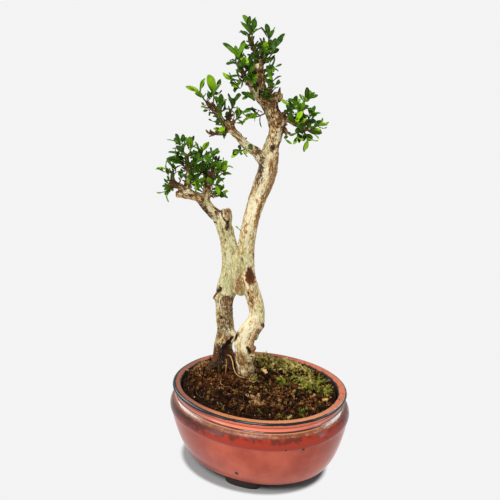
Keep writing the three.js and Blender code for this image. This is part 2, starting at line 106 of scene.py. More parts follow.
def put(tree, kind, inputs=None, **settings):
    """A node in a shader tree: its settings are made, and each input is set or linked."""
    node = tree.nodes.new(kind)
    for name, value in settings.items():
        setattr(node, name, value)
    for name, value in (inputs or {}).items():
        if isinstance(value, bpy.types.NodeSocket):
            tree.links.new(value, node.inputs[name])
        else:
            node.inputs[name].default_value = value
    return node


def vectors(tree, operation, *values, output="Vector"):
    """One step of arithmetic on vectors in a shader tree."""
    return put(tree, "ShaderNodeVectorMath", dict(enumerate(values)), operation=operation).outputs[output]


def steps(tree, value, low, high, below=0.0, above=1.0):
    """A smooth rise of a value from below to above, between two limits."""
    return put(tree, "ShaderNodeMapRange", {
        "Value": value, "From Min": low, "From Max": high, "To Min": below, "To Max": above,
    }, interpolation_type="SMOOTHSTEP").outputs["Result"]


def new_material(name):
    """A material with an empty shader tree."""
    material = bpy.data.materials.new(name)
    material.use_nodes = True
    material.node_tree.nodes.clear()
    return material


camera = show("camera", bpy.data.cameras.new("camera"))
camera.data.lens = CAMERA_LENS
camera.data.clip_start = CAMERA_NEAR
towards_camera = looking_from(CAMERA_AZIMUTH, CAMERA_ELEVATION)
camera.location = CAMERA_TARGET + towards_camera * CAMERA_DISTANCE
camera.rotation_euler = towards_camera.to_track_quat("Z", "Y").to_euler()
bpy.context.scene.camera = camera
bpy.context.scene.view_settings.view_transform = "Standard"

world = bpy.data.worlds.new("white_sky")
world.use_nodes = True
world.node_tree.nodes.clear()
seen_or_lit = put(world.node_tree, "ShaderNodeMix", {
    "Factor": put(world.node_tree, "ShaderNodeLightPath").outputs["Is Camera Ray"],
    "A": SKY_LIGHT,
    "B": SKY_SEEN,
})
sky = put(world.node_tree, "ShaderNodeBackground", {
    "Color": (1, 1, 1, 1),
    "Strength": seen_or_lit.outputs["Result"],
})
put(world.node_tree, "ShaderNodeOutputWorld", {"Surface": sky.outputs["Background"]})
bpy.context.scene.world = world

key = show("key", bpy.data.lights.new("key", "SUN"))
key.data.energy = KEY_STRENGTH
key.data.angle = KEY_SOFTNESS
key.rotation_euler = (-KEY_DIRECTION).to_track_quat("Z", "Y").to_euler()


def soft_box(name, turn, rise, distance, size, power, lift=0.0):
    """A rectangular lamp that looks at the pot from a turn away from the camera."""
    lamp = show(name, bpy.data.lights.new(name, "AREA"))
    lamp.data.shape = "RECTANGLE"
    lamp.data.size, lamp.data.size_y = size
    lamp.data.energy = power
    out = looking_from(CAMERA_AZIMUTH + turn, rise)
    lamp.location = out * distance + Vector((0, 0, lift))
    lamp.rotation_euler = out.to_track_quat("Z", "Y").to_euler()
    return lamp


glazed = bpy.data.collections.new("glazed")
for turn in STRIP_TURNS:
    soft_box("strip", turn, 0, STRIP_DISTANCE, STRIP_SIZE, STRIP_POWER, STRIP_SIZE[1] / 2)
for turn in NECK_BOX_TURNS:
    neck_box = soft_box("neck_box", turn, NECK_BOX_RISE, NECK_BOX_DISTANCE, NECK_BOX_SIZE, NECK_BOX_POWER)
    neck_box.visible_diffuse = False
    neck_box.visible_camera = False
    neck_box.light_linking.receiver_collection = glazed

floor_paint = new_material("floor_paint")
floor_tree = floor_paint.node_tree
position = put(floor_tree, "ShaderNodeNewGeometry").outputs["Position"]
spot = vectors(floor_tree, "SUBTRACT", position, FLOOR_GLOW_MIDDLE)
share = vectors(floor_tree, "DIVIDE", spot, FLOOR_GLOW_OVAL)
away = vectors(floor_tree, "LENGTH", share, output="Value")
# painted contact shadow: inside the glow's oval the floor is a dark grey diffuse that takes the real shadow,
# outside it glows evenly
shaded = put(floor_tree, "ShaderNodeBsdfDiffuse", {"Color": (*[FLOOR_SHADE] * 3, 1)})
glowing = put(floor_tree, "ShaderNodeEmission", {"Strength": FLOOR_GLOW})
floor_mix = put(floor_tree, "ShaderNodeMixShader", {
    "Fac": steps(floor_tree, away, *FLOOR_GLOW_EDGE),
    1: shaded.outputs["BSDF"],
    2: glowing.outputs["Emission"],
})
put(floor_tree, "ShaderNodeOutputMaterial", {"Surface": floor_mix.outputs["Shader"]})
floor_mesh = bpy.data.meshes.new("floor")
corners = [(x * FLOOR_REACH, y * FLOOR_REACH, 0) for x, y in ((-1, -1), (1, -1), (1, 1), (-1, 1))]
floor_mesh.from_pydata(corners, [], [(0, 1, 2, 3)])
floor_mesh.materials.append(floor_paint)
floor = show("floor", floor_mesh)

# ---------------------------------------------------------------------------------------------------
# Pot: thrown stoneware pressed into an oval, dipped in an iron-red glaze that breaks to gold-brown
# on the bead and to black on the edge of the rim. The base and the three feet are bare dark clay.
# The front, toward the camera and the key, is painted lighter, with the gold on the bead, a redder band
# and neck and an orange rim top there, and the sides are painted darker: painted light and painted
# shade. The left side is painted darker still, a painted shade.
TREE_TURN = math.radians(35)
OVAL_EXTRA = 9.5
OVAL_POWER = 2.1
BASE_HALF_WIDTH = 40.3
POT_TURNS = 288
POT_STEP = 0.9
POT_WOBBLE = 0.16
POT_RUNS = [
    # half width and height, from the drain hole out, up the outside and down the inside
    [(6, 11), (5.7, 9), (5.7, 7), (6, 5.5)],
    [(6, 5.5), (20, 5.5), (38.6, 5.5), (40.3, 5.7)],
    [(40.3, 5.7), (41.4, 6.2), (42.7, 7.5), (45.8, 12.8), (49, 21), (51.5, 30), (52.7, 36), (53, 37.5)],
    [(53, 37.5), (53.5, 38.2), (53.85, 39.6), (53.9, 41.6), (53.3, 43.8), (52.5, 45.3)],
    [(52.5, 45.3), (52, 46.2), (50.9, 47.3), (49.7, 48)],
    [(49.7, 48), (49.1, 48.4), (49.1, 48.9)],
    [(49.1, 48.9), (48.7, 49.8), (48.7, 50.8), (49.4, 52), (50.6, 53.1)],
    [(50.6, 53.1), (51.5, 53.7), (51.98, 54.6), (51.8, 55.4), (51.1, 55.9)],
    [(51.1, 55.9), (50.2, 56), (48.4, 56), (47.2, 55.9)],
    [(47.2, 55.9), (46.5, 55.4), (45.9, 53), (45, 48), (43.4, 36), (41.5, 24), (38.4, 14.6), (33, 11.4),
     (20, 11), (6, 11)],
]
RUN_BODY, RUN_BAND, RUN_BEAD, RUN_GROOVE, RUN_NECK, RUN_EDGE, RUN_TOP, RUN_INSIDE = range(2, len(POT_RUNS))
WOBBLE_CELLS = 0.05
WOBBLE_INNER = 20
LEAST_GAP = 1e-4
FEET = 3
FIRST_FOOT = math.radians(-76.5)
FOOT_SPREAD = math.radians(14)
FOOT_WIDTH = 7
FOOT_INSET = 0.6
FOOT_FLARE = 1.15
FOOT_TOP = 7
FOOT_ROWS = [
    # height of each row of a foot, and how far it stands in from the foot's side
    (0, 2.2), (0, 0.9), (0.25, 0.35), (0.9, 0), (0.6 * FOOT_TOP, 0), (FOOT_TOP, 0),
]
FOOT_ROUNDNESS = 0.62
FOOT_RUN = 0.5
FOOT_SIDES = 48
BARE_CLAY = (0.020, 0.013, 0.011)
BODY_RED = (0.46, 0.090, 0.048)
BODY_DEEP = (0.33, 0.050, 0.025)
# the band, the bead, the neck and the rim top are painted lighter on the front toward the camera and the key,
# and darker on the sides: painted light and painted shade
BAND_RED = (0.30, 0.026, 0.009)
BAND_SHADED_SIDES = (0.15, 0.012, 0.006)
BAND_DARK = (0.050, 0.017, 0.012)
BEAD_GOLD = (0.50, 0.20, 0.075)
BEAD_BROWN = (0.15, 0.042, 0.018)
GLINT_CREAM = (0.80, 0.36, 0.17)
NECK_RED = (0.88, 0.22, 0.12)
NECK_SHADED_SIDES = (0.36, 0.055, 0.030)
EDGE_BLACK = (0.010, 0.010, 0.013)
TOP_ORANGE = (0.58, 0.22, 0.085)
TOP_RED = (0.54, 0.145, 0.063)
INSIDE_DARK = (0.022, 0.015, 0.013)
# painted shade: the rim top and the body are darker on the left side
TOP_SHADED_LEFT = (0.28, 0.085, 0.045)
BODY_SHADED_LEFT = (0.16, 0.022, 0.012)
# the front toward the camera and the key, where the glaze is painted lighter (painted light), and the left
# side, where it is painted darker (painted shade)
LIT_FRONT_SIDE = Vector((0.574, -0.819, 0))
SHADED_LEFT_SIDE = Vector((-0.819, -0.574, 0))
LIT_FRONT_REACH = (0.026, 0.050)
SHADED_LEFT_REACH = (0.020, 0.050)
WANDER = 0.35
DRIP_COVER = (0.16, 0.68)
GLAZE_ROUGHNESS = (0.13, 0.22)
SPECKLE_BROAD = 0.17
SPECKLE_SHARES = (0.7, 0.3)
SPECKLE_BARE = 0.68
SPECKLE_COVER = 0.36
PIT_RAGGED = 0.002
PIT_EDGE = (1.3, 0.8)
POT_PITS = [
    # degrees round from the pot's +X, half width and height of a pinhole in the glaze, and its radius
    (-76.5, 46.6, 14.5, 1.3),
    (-31.5, 53.2, 37.2, 1.0),
    (-43.5, 53.3, 38.4, 0.7),
]


def curve_at(points, shares):
    """Points at shares of the way along the smooth centripetal curve through given points.
    Columns past the third ride along with the place."""
    points = np.array(points, float)
    padded = np.vstack([2 * points[0] - points[1], points, 2 * points[-1] - points[-2]])
    at = np.clip(np.atleast_1d(np.asarray(shares, float)), 0, 1) * (len(points) - 1)
    cell = np.minimum(at.astype(int), len(points) - 2)
    share = (at - cell)[:, None]
    p0, p1, p2, p3 = (padded[cell + i] for i in range(4))
    d0, d1, d2 = (
        np.maximum(np.sqrt(np.linalg.norm((b - a)[:, :3], axis=1))[:, None], LEAST_GAP)
        for a, b in ((p0, p1), (p1, p2), (p2, p3)))
    t1 = ((p1 - p0) / d0 - (p2 - p0) / (d0 + d1) + (p2 - p1) / d1) * d1
    t2 = ((p2 - p1) / d1 - (p3 - p1) / (d1 + d2) + (p3 - p2) / d2) * d1
    cubic = 2 * p1 - 2 * p2 + t1 + t2
    square = -3 * p1 + 3 * p2 - 2 * t1 - t2
    return p1 + t1 * share + square * share ** 2 + cubic * share ** 3


def bent(values, power):
    """Values raised to a power, with their signs kept."""
    return np.sign(values) * np.abs(values) ** power


def oval(half_width, angle):
    """X and Y of the pot's outline at a half width and an angle."""
    half_length = half_width + OVAL_EXTRA * np.minimum(1, half_width / BASE_HALF_WIDTH)
    return half_length * bent(np.cos(angle), 2 / OVAL_POWER), half_width * bent(np.sin(angle), 2 / OVAL_POWER)


def round_angles(count):
    """Angles spaced evenly round a circle."""
    return np.arange(count) * 2 * math.pi / count


def rows_to_faces(rows, columns, start=0):
    """Quads between rows of points whose columns close on themselves."""
    row, column = np.meshgrid(np.arange(rows - 1), np.arange(columns), indexing="ij")
    after = (column + 1) % columns
    quads = np.stack([row * columns + column, row * columns + after,
                      (row + 1) * columns + after, (row + 1) * columns + column], axis=-1)
    return (quads.reshape(-1, 4) + start).tolist()


def capped(rows, columns, start=0):
    """Faces of rows that close on themselves, with a cap on the first row and one on the last."""
    end = start + rows * columns
    caps = [list(range(start + columns - 1, start - 1, -1)), list(range(end - columns, end))]
    return rows_to_faces(rows, columns, start) + caps


def set_attributes(mesh, attributes):
    """Attributes of a mesh by name: each is one number, or three, for every vertex."""
    for title, values in attributes.items():
        values = np.asarray(values, np.float32)
        kind, field = ("FLOAT", "value") if values.ndim == 1 else ("FLOAT_VECTOR", "vector")
        mesh.attributes.new(title, kind, "POINT").data.foreach_set(field, values.ravel())


def make_piece(name, places, faces, material, slot, nodes=(), turned=False, smooth=True, **attributes):
    """A named mesh that rides on the part: places in mm, turned with the tree if it grows on it."""
    mesh = bpy.data.meshes.new(name)
    mesh.from_pydata((np.asarray(places, float) * MM).tolist(), [], faces)
    if turned:
        mesh.transform(Matrix.Rotation(TREE_TURN, 4, "Z"))
    mesh.validate()
    mesh.materials.append(material)
    if smooth:
        mesh.shade_smooth()
    set_attributes(mesh, attributes)
    piece = show(name, mesh)
    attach(piece, "root")
    if nodes:
        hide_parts(*nodes)
    return piece


def read(tree, title, output="Fac"):
    """A mesh attribute in a shader tree."""
    return put(tree, "ShaderNodeAttribute", attribute_name=title).outputs[output]


def here(tree):
    """The place of a point on the part, in metres."""
    return put(tree, "ShaderNodeTexCoord").outputs["Object"]


def maths(operation, tree, *values, clamp=False):
    """One step of arithmetic on sockets or numbers."""
    inputs = dict(enumerate(values))
    return put(tree, "ShaderNodeMath", inputs, operation=operation, use_clamp=clamp).outputs["Value"]


times, plus, minus = (functools.partial(maths, operation) for operation in ("MULTIPLY", "ADD", "SUBTRACT"))


def summed(tree, *terms, clamp=False):
    """The sum of sockets or numbers, each by its weight."""
    parts = [value if weight == 1 else times(tree, value, weight) for value, weight in terms]
    total = parts[0]
    for part in parts[1:]:
        total = plus(tree, total, part, clamp=clamp and part is parts[-1])
    return total


def swing(tree, value, amount):
    """A noise from 0 to 1, made to swing about zero by an amount."""
    return times(tree, minus(tree, value, 0.5), amount)


def at_least(tree, mask, least):
    """A mask raised so that it never falls under a least value."""
    return summed(tree, (mask, 1 - least), (least, 1))


def mixed(tree, share, below, above):
    """A colour between two, by a share."""
    below, above = ((*value, 1) if isinstance(value, tuple) else value for value in (below, above))
    return put(tree, "ShaderNodeMix", {0: share, 6: below, 7: above}, data_type="RGBA").outputs[2]


def layered(tree, colour, *layers):
    """A colour with others laid over it in turn, each by its mask and how strong that is."""
    for mask, strength, over in layers:
        colour = mixed(tree, mask if strength == 1 else times(tree, mask, strength), colour, over)
    return colour


def grain(tree, scale, detail=3.0, roughness=0.55, place=None):
    """Fractal noise from 0 to 1, with its scale in cells to the unit of its place."""
    return put(tree, "ShaderNodeTexNoise", {
        "Vector": place or here(tree), "Scale": scale, "Detail": detail, "Roughness": roughness,
    }).outputs["Fac"]


def ramped(tree, value, stops):
    """A colour ramp from places and colours."""
    node = put(tree, "ShaderNodeValToRGB", {"Fac": value})
    node.color_ramp.elements.remove(node.color_ramp.elements[0])
    for index, (place, colour) in enumerate(stops):
        element = node.color_ramp.elements[0] if index == 0 else node.color_ramp.elements.new(place)
        element.position = place
        element.color = (*colour, 1)
    return node.outputs["Color"]


def speckle_group():
    """The group that every grainy finish uses: a mask of scattered spots with ragged edges."""
    group = bpy.data.node_groups.new("speckle", "ShaderNodeTree")
    group.interface.new_socket("Vector", in_out="INPUT", socket_type="NodeSocketVector")
    for title in ("Scale", "Cover", "Softness"):
        group.interface.new_socket(title, in_out="INPUT", socket_type="NodeSocketFloat")
    group.interface.new_socket("Mask", in_out="OUTPUT", socket_type="NodeSocketFloat")
    given = put(group, "NodeGroupInput").outputs
    fine = grain(group, given["Scale"], 4.0, 0.6, given["Vector"])
    broad = grain(group, times(group, given["Scale"], SPECKLE_BROAD), 2.0, 0.5, given["Vector"])
    height = summed(group, (fine, SPECKLE_SHARES[0]), (broad, SPECKLE_SHARES[1]))
    threshold = minus(group, SPECKLE_BARE, times(group, given["Cover"], SPECKLE_COVER))
    over = maths("DIVIDE", group, minus(group, height, threshold), given["Softness"], clamp=True)
    put(group, "NodeGroupOutput", {"Mask": over})
    return group


SPECKLE = speckle_group()


def speckle(tree, scale, cover, softness=0.1, place=None):
    """A mask of scattered spots: how fine, how much they cover, and how soft their edges are."""
    return put(tree, "ShaderNodeGroup", {
        "Vector": place or here(tree), "Scale": scale, "Cover": cover, "Softness": softness,
    }, node_tree=SPECKLE).outputs["Mask"]


def finish_surface(tree, colour, roughness, height, relief, specular, coat=0.0, coat_roughness=0.03):
    """The surface shader of a material: its colour, roughness and relief vary, the rest is uniform."""
    bump = put(tree, "ShaderNodeBump", {"Height": height, "Distance": relief * MM, "Strength": 1.0})
    shader = put(tree, "ShaderNodeBsdfPrincipled", {
        "Base Color": colour, "Roughness": roughness, "Normal": bump.outputs["Normal"],
        "Coat Weight": coat, "Coat Roughness": coat_roughness, "Specular IOR Level": specular,
    })
    put(tree, "ShaderNodeOutputMaterial", {"Surface": shader.outputs["BSDF"]})


def pot_profile():
    """Rings of the pot: half width, height, and how far along the glaze runs each lies."""
    rings = []
    for index, run in enumerate(POT_RUNS):
        length = sum(math.dist(a, b) for a, b in zip(run, run[1:]))
        count = max(3, round(length / POT_STEP))
        for k, (half_width, z) in enumerate(curve_at(run, np.linspace(0, 1, count + 1))[:-1]):
            rings.append((half_width, z, index + k / count))
    return np.array(rings)


def pot_foot(middle):
    """Rows of one foot, from its flat sole up into the body: a rounded bean along the edge of the base."""
    angle = round_angles(FOOT_SIDES)
    round_x, round_y = bent(np.cos(angle), FOOT_ROUNDNESS), bent(np.sin(angle), FOOT_ROUNDNESS)
    half = (FOOT_WIDTH - FOOT_INSET) / 2
    rows = []
    for z, inset in FOOT_ROWS:
        flare = 1 + (FOOT_FLARE - 1) * z / FOOT_TOP
        depth = BASE_HALF_WIDTH - FOOT_INSET - half + round_y * (half * flare - inset)
        turn = middle + round_x * (FOOT_SPREAD * flare - inset / BASE_HALF_WIDTH)
        rows.append(np.stack([*oval(depth, turn), np.full(FOOT_SIDES, z)], axis=-1))
    return np.concatenate(rows)


profile = pot_profile()
turns = round_angles(POT_TURNS)
places = []
for half_width, z, run in profile:
    x, y = oval(half_width, turns)
    wobble = [POT_WOBBLE * noise.noise(Vector((a, b, z)) * WOBBLE_CELLS) - POT_WOBBLE for a, b in zip(x, y)]
    if run < RUN_BODY:
        wobble = np.zeros(POT_TURNS)
    inward = 1 + np.array(wobble) / max(half_width, WOBBLE_INNER)
    places.append(np.stack([x * inward, y * inward, np.full(POT_TURNS, z)], axis=-1))
places = [np.concatenate(places)]
runs = [np.repeat(profile[:, 2], POT_TURNS)]
faces = rows_to_faces(len(profile), POT_TURNS)
last = (len(profile) - 1) * POT_TURNS
for column in range(POT_TURNS):
    after = (column + 1) % POT_TURNS
    faces.append((last + column, last + after, after, column))
start = len(profile) * POT_TURNS
for index in range(FEET):
    foot = pot_foot(FIRST_FOOT + index * 2 * math.pi / FEET)
    faces += capped(len(FOOT_ROWS), FOOT_SIDES, start)[:-1]
    places.append(foot)
    runs.append(np.full(len(foot), FOOT_RUN))
    start += len(foot)

glaze = new_material("iron_red_glaze")
tree = glaze.node_tree
run = read(tree, "run")
place = here(tree)
# the front toward the camera and the key, where the glaze is painted lighter: painted light
front = steps(tree, vectors(tree, "DOT_PRODUCT", place, LIT_FRONT_SIDE, output="Value"), *LIT_FRONT_REACH)
# the left side, where the glaze is painted darker: painted shade
shaded_left = steps(tree, vectors(tree, "DOT_PRODUCT", place, SHADED_LEFT_SIDE, output="Value"), *SHADED_LEFT_REACH)
wander = swing(tree, grain(tree, scale=260, detail=3), WANDER)
wandering = plus(tree, run, wander)


def past(limit, softness=0.05, value=run):
    """Where the glaze runs have passed a limit."""
    return steps(tree, value, limit - softness, limit + softness)


def between(low, high, low_softness=0.05, high_softness=0.05):
    """Where the glaze runs lie between two limits."""
    return times(tree, past(low, low_softness), minus(tree, 1.0, past(high, high_softness)))


cloud = grain(tree, scale=42, detail=4, roughness=0.6)
crawl = speckle(tree, scale=700, cover=0.30, softness=0.16)
body = layered(
    tree, BODY_DEEP,
    (steps(tree, cloud, 0.35, 0.68), 1, BODY_RED),
    (crawl, 0.35, BODY_DEEP),
    (shaded_left, 0.55, BODY_SHADED_LEFT))
dripped = steps(tree, wandering, RUN_BAND + 0.3, RUN_BEAD, *DRIP_COVER)
brushed = speckle(tree, 230, summed(tree, (dripped, 1), (shaded_left, 0.2)), 0.08)
band_dark = times(tree, brushed, steps(tree, wandering, RUN_BAND - 0.05, RUN_BAND + 0.75))
band_dark = times(tree, band_dark, minus(tree, 1.0, times(tree, front, 0.3)))
# painted light and shade: the band is bright red on the front and deep red on the sides
band = layered(
    tree, BAND_SHADED_SIDES,
    (at_least(tree, front, 0.3), 1, BAND_RED),
    (band_dark, 1, BAND_DARK))
bead_gold = mixed(tree, speckle(tree, scale=1500, cover=0.5, softness=0.14), BEAD_BROWN, BEAD_GOLD)
bead_plain = mixed(tree, speckle(tree, scale=420, cover=0.45, softness=0.14), BEAD_BROWN, BAND_DARK)
# painted light and shade: the bead is gold and the neck bright red on the front, darker on the sides
bead = mixed(tree, at_least(tree, front, 0.2), bead_plain, bead_gold)
neck = mixed(tree, at_least(tree, front, 0.2), NECK_SHADED_SIDES, NECK_RED)
# painted light and shade: the rim top is orange on the front and darker on the left
top = layered(
    tree, TOP_RED,
    (front, 1, TOP_ORANGE),
    (shaded_left, 1, TOP_SHADED_LEFT),
    (speckle(tree, scale=1100, cover=0.35, softness=0.1), 0.75, BAND_DARK))
pits = 0.0
for degrees, half_width, z, radius in POT_PITS:
    middle = Vector((*oval(half_width, math.radians(degrees)), z)) * MM
    away = vectors(tree, "DISTANCE", place, middle, output="Value")
    ragged = summed(tree, (away, 1), (wander, PIT_RAGGED))
    pit = steps(tree, ragged, *(radius * MM * edge for edge in PIT_EDGE))
    pits = maths("MAXIMUM", tree, pits, pit)
colour = layered(
    tree, BARE_CLAY,
    (past(RUN_BODY + 0.01, 0.03), 1, body),
    (past(RUN_BAND + 0.04, 0.12), 1, band),
    (past(RUN_BEAD + 0.22, 0.14, wandering), 1, bead),
    # painted highlight: a cream line along the top of the bead, under the groove
    (between(RUN_BEAD + 0.80, RUN_GROOVE), 0.45, GLINT_CREAM),
    (past(RUN_GROOVE), 1, BAND_DARK),
    (past(RUN_NECK), 1, neck),
    (past(RUN_EDGE + 0.05, 0.08, summed(tree, (wandering, 1), (front, -0.42))), 1, EDGE_BLACK),
    (between(RUN_NECK + 0.50, RUN_NECK + 0.62, 0.06, 0.06), 0.7, BAND_DARK),
    (past(RUN_TOP + 0.1, 0.08, summed(tree, (wandering, 1), (shaded_left, -0.30))), 1, top),
    (past(RUN_INSIDE + 0.03, 0.04, wandering), 1, INSIDE_DARK),
    (pits, 1, EDGE_BLACK))
clay = steps(tree, run, RUN_BODY + 0.02, RUN_BODY)
clouded = steps(tree, cloud, 0.3, 0.7, *GLAZE_ROUGHNESS)
beaded = between(RUN_BEAD, RUN_GROOVE, 0.3)
rough = summed(tree, (clouded, 1), (clay, 0.6), (beaded, 0.25), (past(RUN_INSIDE + 0.03), 0.5), clamp=True)
ripple = summed(tree, (grain(tree, scale=130, detail=2), 0.8), (crawl, 0.12), (pits, -2.0))
wet = summed(tree, (between(RUN_BEAD + 0.6, RUN_EDGE, 0.1), 0.9), (0.08, 1))
finish_surface(tree, colour, rough, ripple, relief=0.18, specular=0.26, coat=wet, coat_roughness=0.06)
pot = make_piece("pot_glazed", np.concatenate(places), faces, glaze, "glaze", ["pot"],
                 run=np.concatenate(runs))
glazed.objects.link(pot)

# ---------------------------------------------------------------------------------------------------
# Soil: dark potting earth with rotted fibre in it, filled to a low mound round the trunks and to the
# rim at the back. It has shrunk a little from the wall of the pot.
TREE_FOOT = (-14, 14)
SEAT_GAP = 0.3
MOUND_HEIGHT = 62
MOUND_REACH = (34, 30)
WALL_SOIL_HEIGHT = 51
BACK_SOIL_RISE = 4
BACK_SOIL_FROM, BACK_SOIL_TO = -10, 40
COARSE_LUMPS = (0.7, 0.27, 0.31)
FINE_LUMPS = (0.4, 0.55, 0.43)
SOIL_WALL = 45 - SEAT_GAP
SOIL_SKIRT = [(44.7, 48), (41.2, 24), (36.5, 13.6), (32.7, 11.3)]
SOIL_ROWS = 84
SOIL_MIDDLE = 0.004
SOIL_RELIEF = [
    # cells to the millimetre and height of each layer of crumb
    (0.11, 1.3),
    (0.31, 1.0),
    (0.83, 0.55),
]
EARTH_BLACK = (0.004, 0.003, 0.002)
EARTH_BROWN = (0.026, 0.012, 0.006)
EARTH_RED = (0.08, 0.028, 0.012)


def in_part_frame(x, y):
    """A place of the tree's frame, as X and Y of the part's frame."""
    along, across = math.cos(TREE_TURN), math.sin(TREE_TURN)
    return x * along - y * across, x * across + y * along


def rise(values, low, high):
    """A smooth step of an array from 0 to 1 between two limits."""
    share = np.clip((values - low) / (high - low), 0, 1)
    return share * share * (3 - 2 * share)


def soil_height(x, y):
    """Height of the soil's mound at a place in the part's frame."""
    middle = in_part_frame(*TREE_FOOT)
    away = np.hypot((x - middle[0]) / MOUND_REACH[0], (y - middle[1]) / MOUND_REACH[1])
    back = BACK_SOIL_RISE * rise(y, BACK_SOIL_FROM, BACK_SOIL_TO)
    coarse = COARSE_LUMPS[0] * np.sin(x * COARSE_LUMPS[1] + 1) * np.cos(y * COARSE_LUMPS[2])
    fine = FINE_LUMPS[0] * np.sin(x * FINE_LUMPS[1] - y * FINE_LUMPS[2])
    mound = (MOUND_HEIGHT - WALL_SOIL_HEIGHT) * np.exp(-away * away)
    return WALL_SOIL_HEIGHT + mound + back * (1 - np.exp(-away)) + coarse + fine


def crumb_at(x, y):
    """How far the crumb stands over the mound at a place in the part's frame."""
    return sum(height * noise.noise(Vector((x, y, 7.0)) * cells) for cells, height in SOIL_RELIEF)


def ground(x, y):
    """Height of the soil at a place in the tree's frame."""
    place = in_part_frame(x, y)
    return float(soil_height(*place)) + crumb_at(*place)


places = []
for share in np.linspace(SOIL_MIDDLE, 1, SOIL_ROWS):
    x, y = oval(SOIL_WALL * share, turns)
    crumb = np.array([crumb_at(a, b) for a, b in zip(x, y)])
    places.append(np.stack([x, y, soil_height(x, y) + crumb], axis=-1))
for half_width, z in SOIL_SKIRT:
    places.append(np.stack([*oval(half_width, turns), np.full(POT_TURNS, z)], axis=-1))
faces = [face[::-1] for face in capped(len(places), POT_TURNS)]

earth = new_material("fibrous_earth")
tree = earth.node_tree
clods = grain(tree, scale=300, detail=5, roughness=0.65)
colour = ramped(tree, clods, [(0.38, EARTH_BLACK), (0.55, EARTH_BROWN), (0.74, EARTH_RED)])
colour = layered(tree, colour, (speckle(tree, scale=900, cover=0.3, softness=0.08), 0.6, EARTH_BLACK))
crumbly = summed(tree, (grain(tree, scale=700, detail=5, roughness=0.7), 0.6), (clods, 1))
finish_surface(tree, colour, roughness=0.9, height=crumbly, relief=1.2, specular=0.05)
make_piece("soil_fill", np.concatenate(places), faces, earth, "earth", ["soil"])

# ---------------------------------------------------------------------------------------------------
# Trunk: one grown piece of wood. Two trunks are grafted at mid height and part again, with old cuts
# that have callused over, stubs, knobs, and roots that spread over the soil. Thin flaking bark,
# cream on the right trunk and grey-green on the left, brown and rough in the crowns. Painted on it are
# shadows in its crooks, highlights down the middle of both trunks and shade down the right-facing
# side of the right trunk.
TRUNK_RADIUS = 4.4
TRUNK_FLUTE_DEPTH = 0.07
LIMB_FLUTE_DEPTH = 0.04
STEM_STEP = 1.0
STEM_SIDES = 20
WOOD_VOXEL = 0.505
WOOD_FILLET = 0.7
ROOTS = 6
RIGHT_TRUNK = [
    [-6.5, 5, 34, 3], [-7, 6, 48, 4], [-7.4, 7, 61, 3.9], [-8.8, 7, 69, 4.6], [-10.2, 7, 78, 6.6],
    [-10.4, 7.4, 84, 6.5], [-6.6, 8.2, 92, 6.2], [-2.4, 8.6, 98, 5.9], [-0.8, 9.2, 104, 5.4],
    [-2, 10, 111, 5.1], [-4.4, 11, 118, 5.2], [-7.4, 12.2, 126, 5.8], [-8.6, 13, 135, 5.5],
    [-8.6, 13.8, 147, 5.2], [-7.2, 14, 158, 5.4], [-4.6, 14, 170, 5.3], [-1.2, 14, 181, 5.5],
    [2.2, 13.5, 191, 6], [5.2, 12.8, 201, 6.4], [6, 12.4, 209, 6.2], [7.4, 12, 217, 4.8],
    [10.6, 11.2, 227, 4.3], [10, 10.8, 235, 5], [7.6, 10.4, 242, 4.9], [5.4, 10, 247, 4.2],
]
LEFT_TRUNK = [
    [-24, 25, 34, 4.5], [-24, 24, 50, 7], [-24.3, 23, 63, 7.6], [-25.2, 22, 72, 6.8], [-24.2, 21, 80, 6.4],
    [-23, 20, 88, 5.7], [-23.2, 18.8, 97, 5.7], [-23.2, 17.6, 105, 6], [-22.8, 16.6, 112, 6.5],
    [-21.4, 16, 120, 6.4], [-20, 15, 128, 6], [-19.6, 14, 138, 5.7], [-20, 13.3, 148, 5.4],
    [-21, 12.8, 157, 4.9], [-22.6, 12.4, 164, 5], [-26.6, 12, 171, 4.4], [-31.2, 11, 175.4, 3.8],
    [-35, 10, 180, 3.4], [-38.8, 9, 184.2, 3.2], [-44, 8, 186.6, 3.1], [-49, 7, 187.6, 2.7],
    [-53.6, 6, 187.5, 1.8],
]
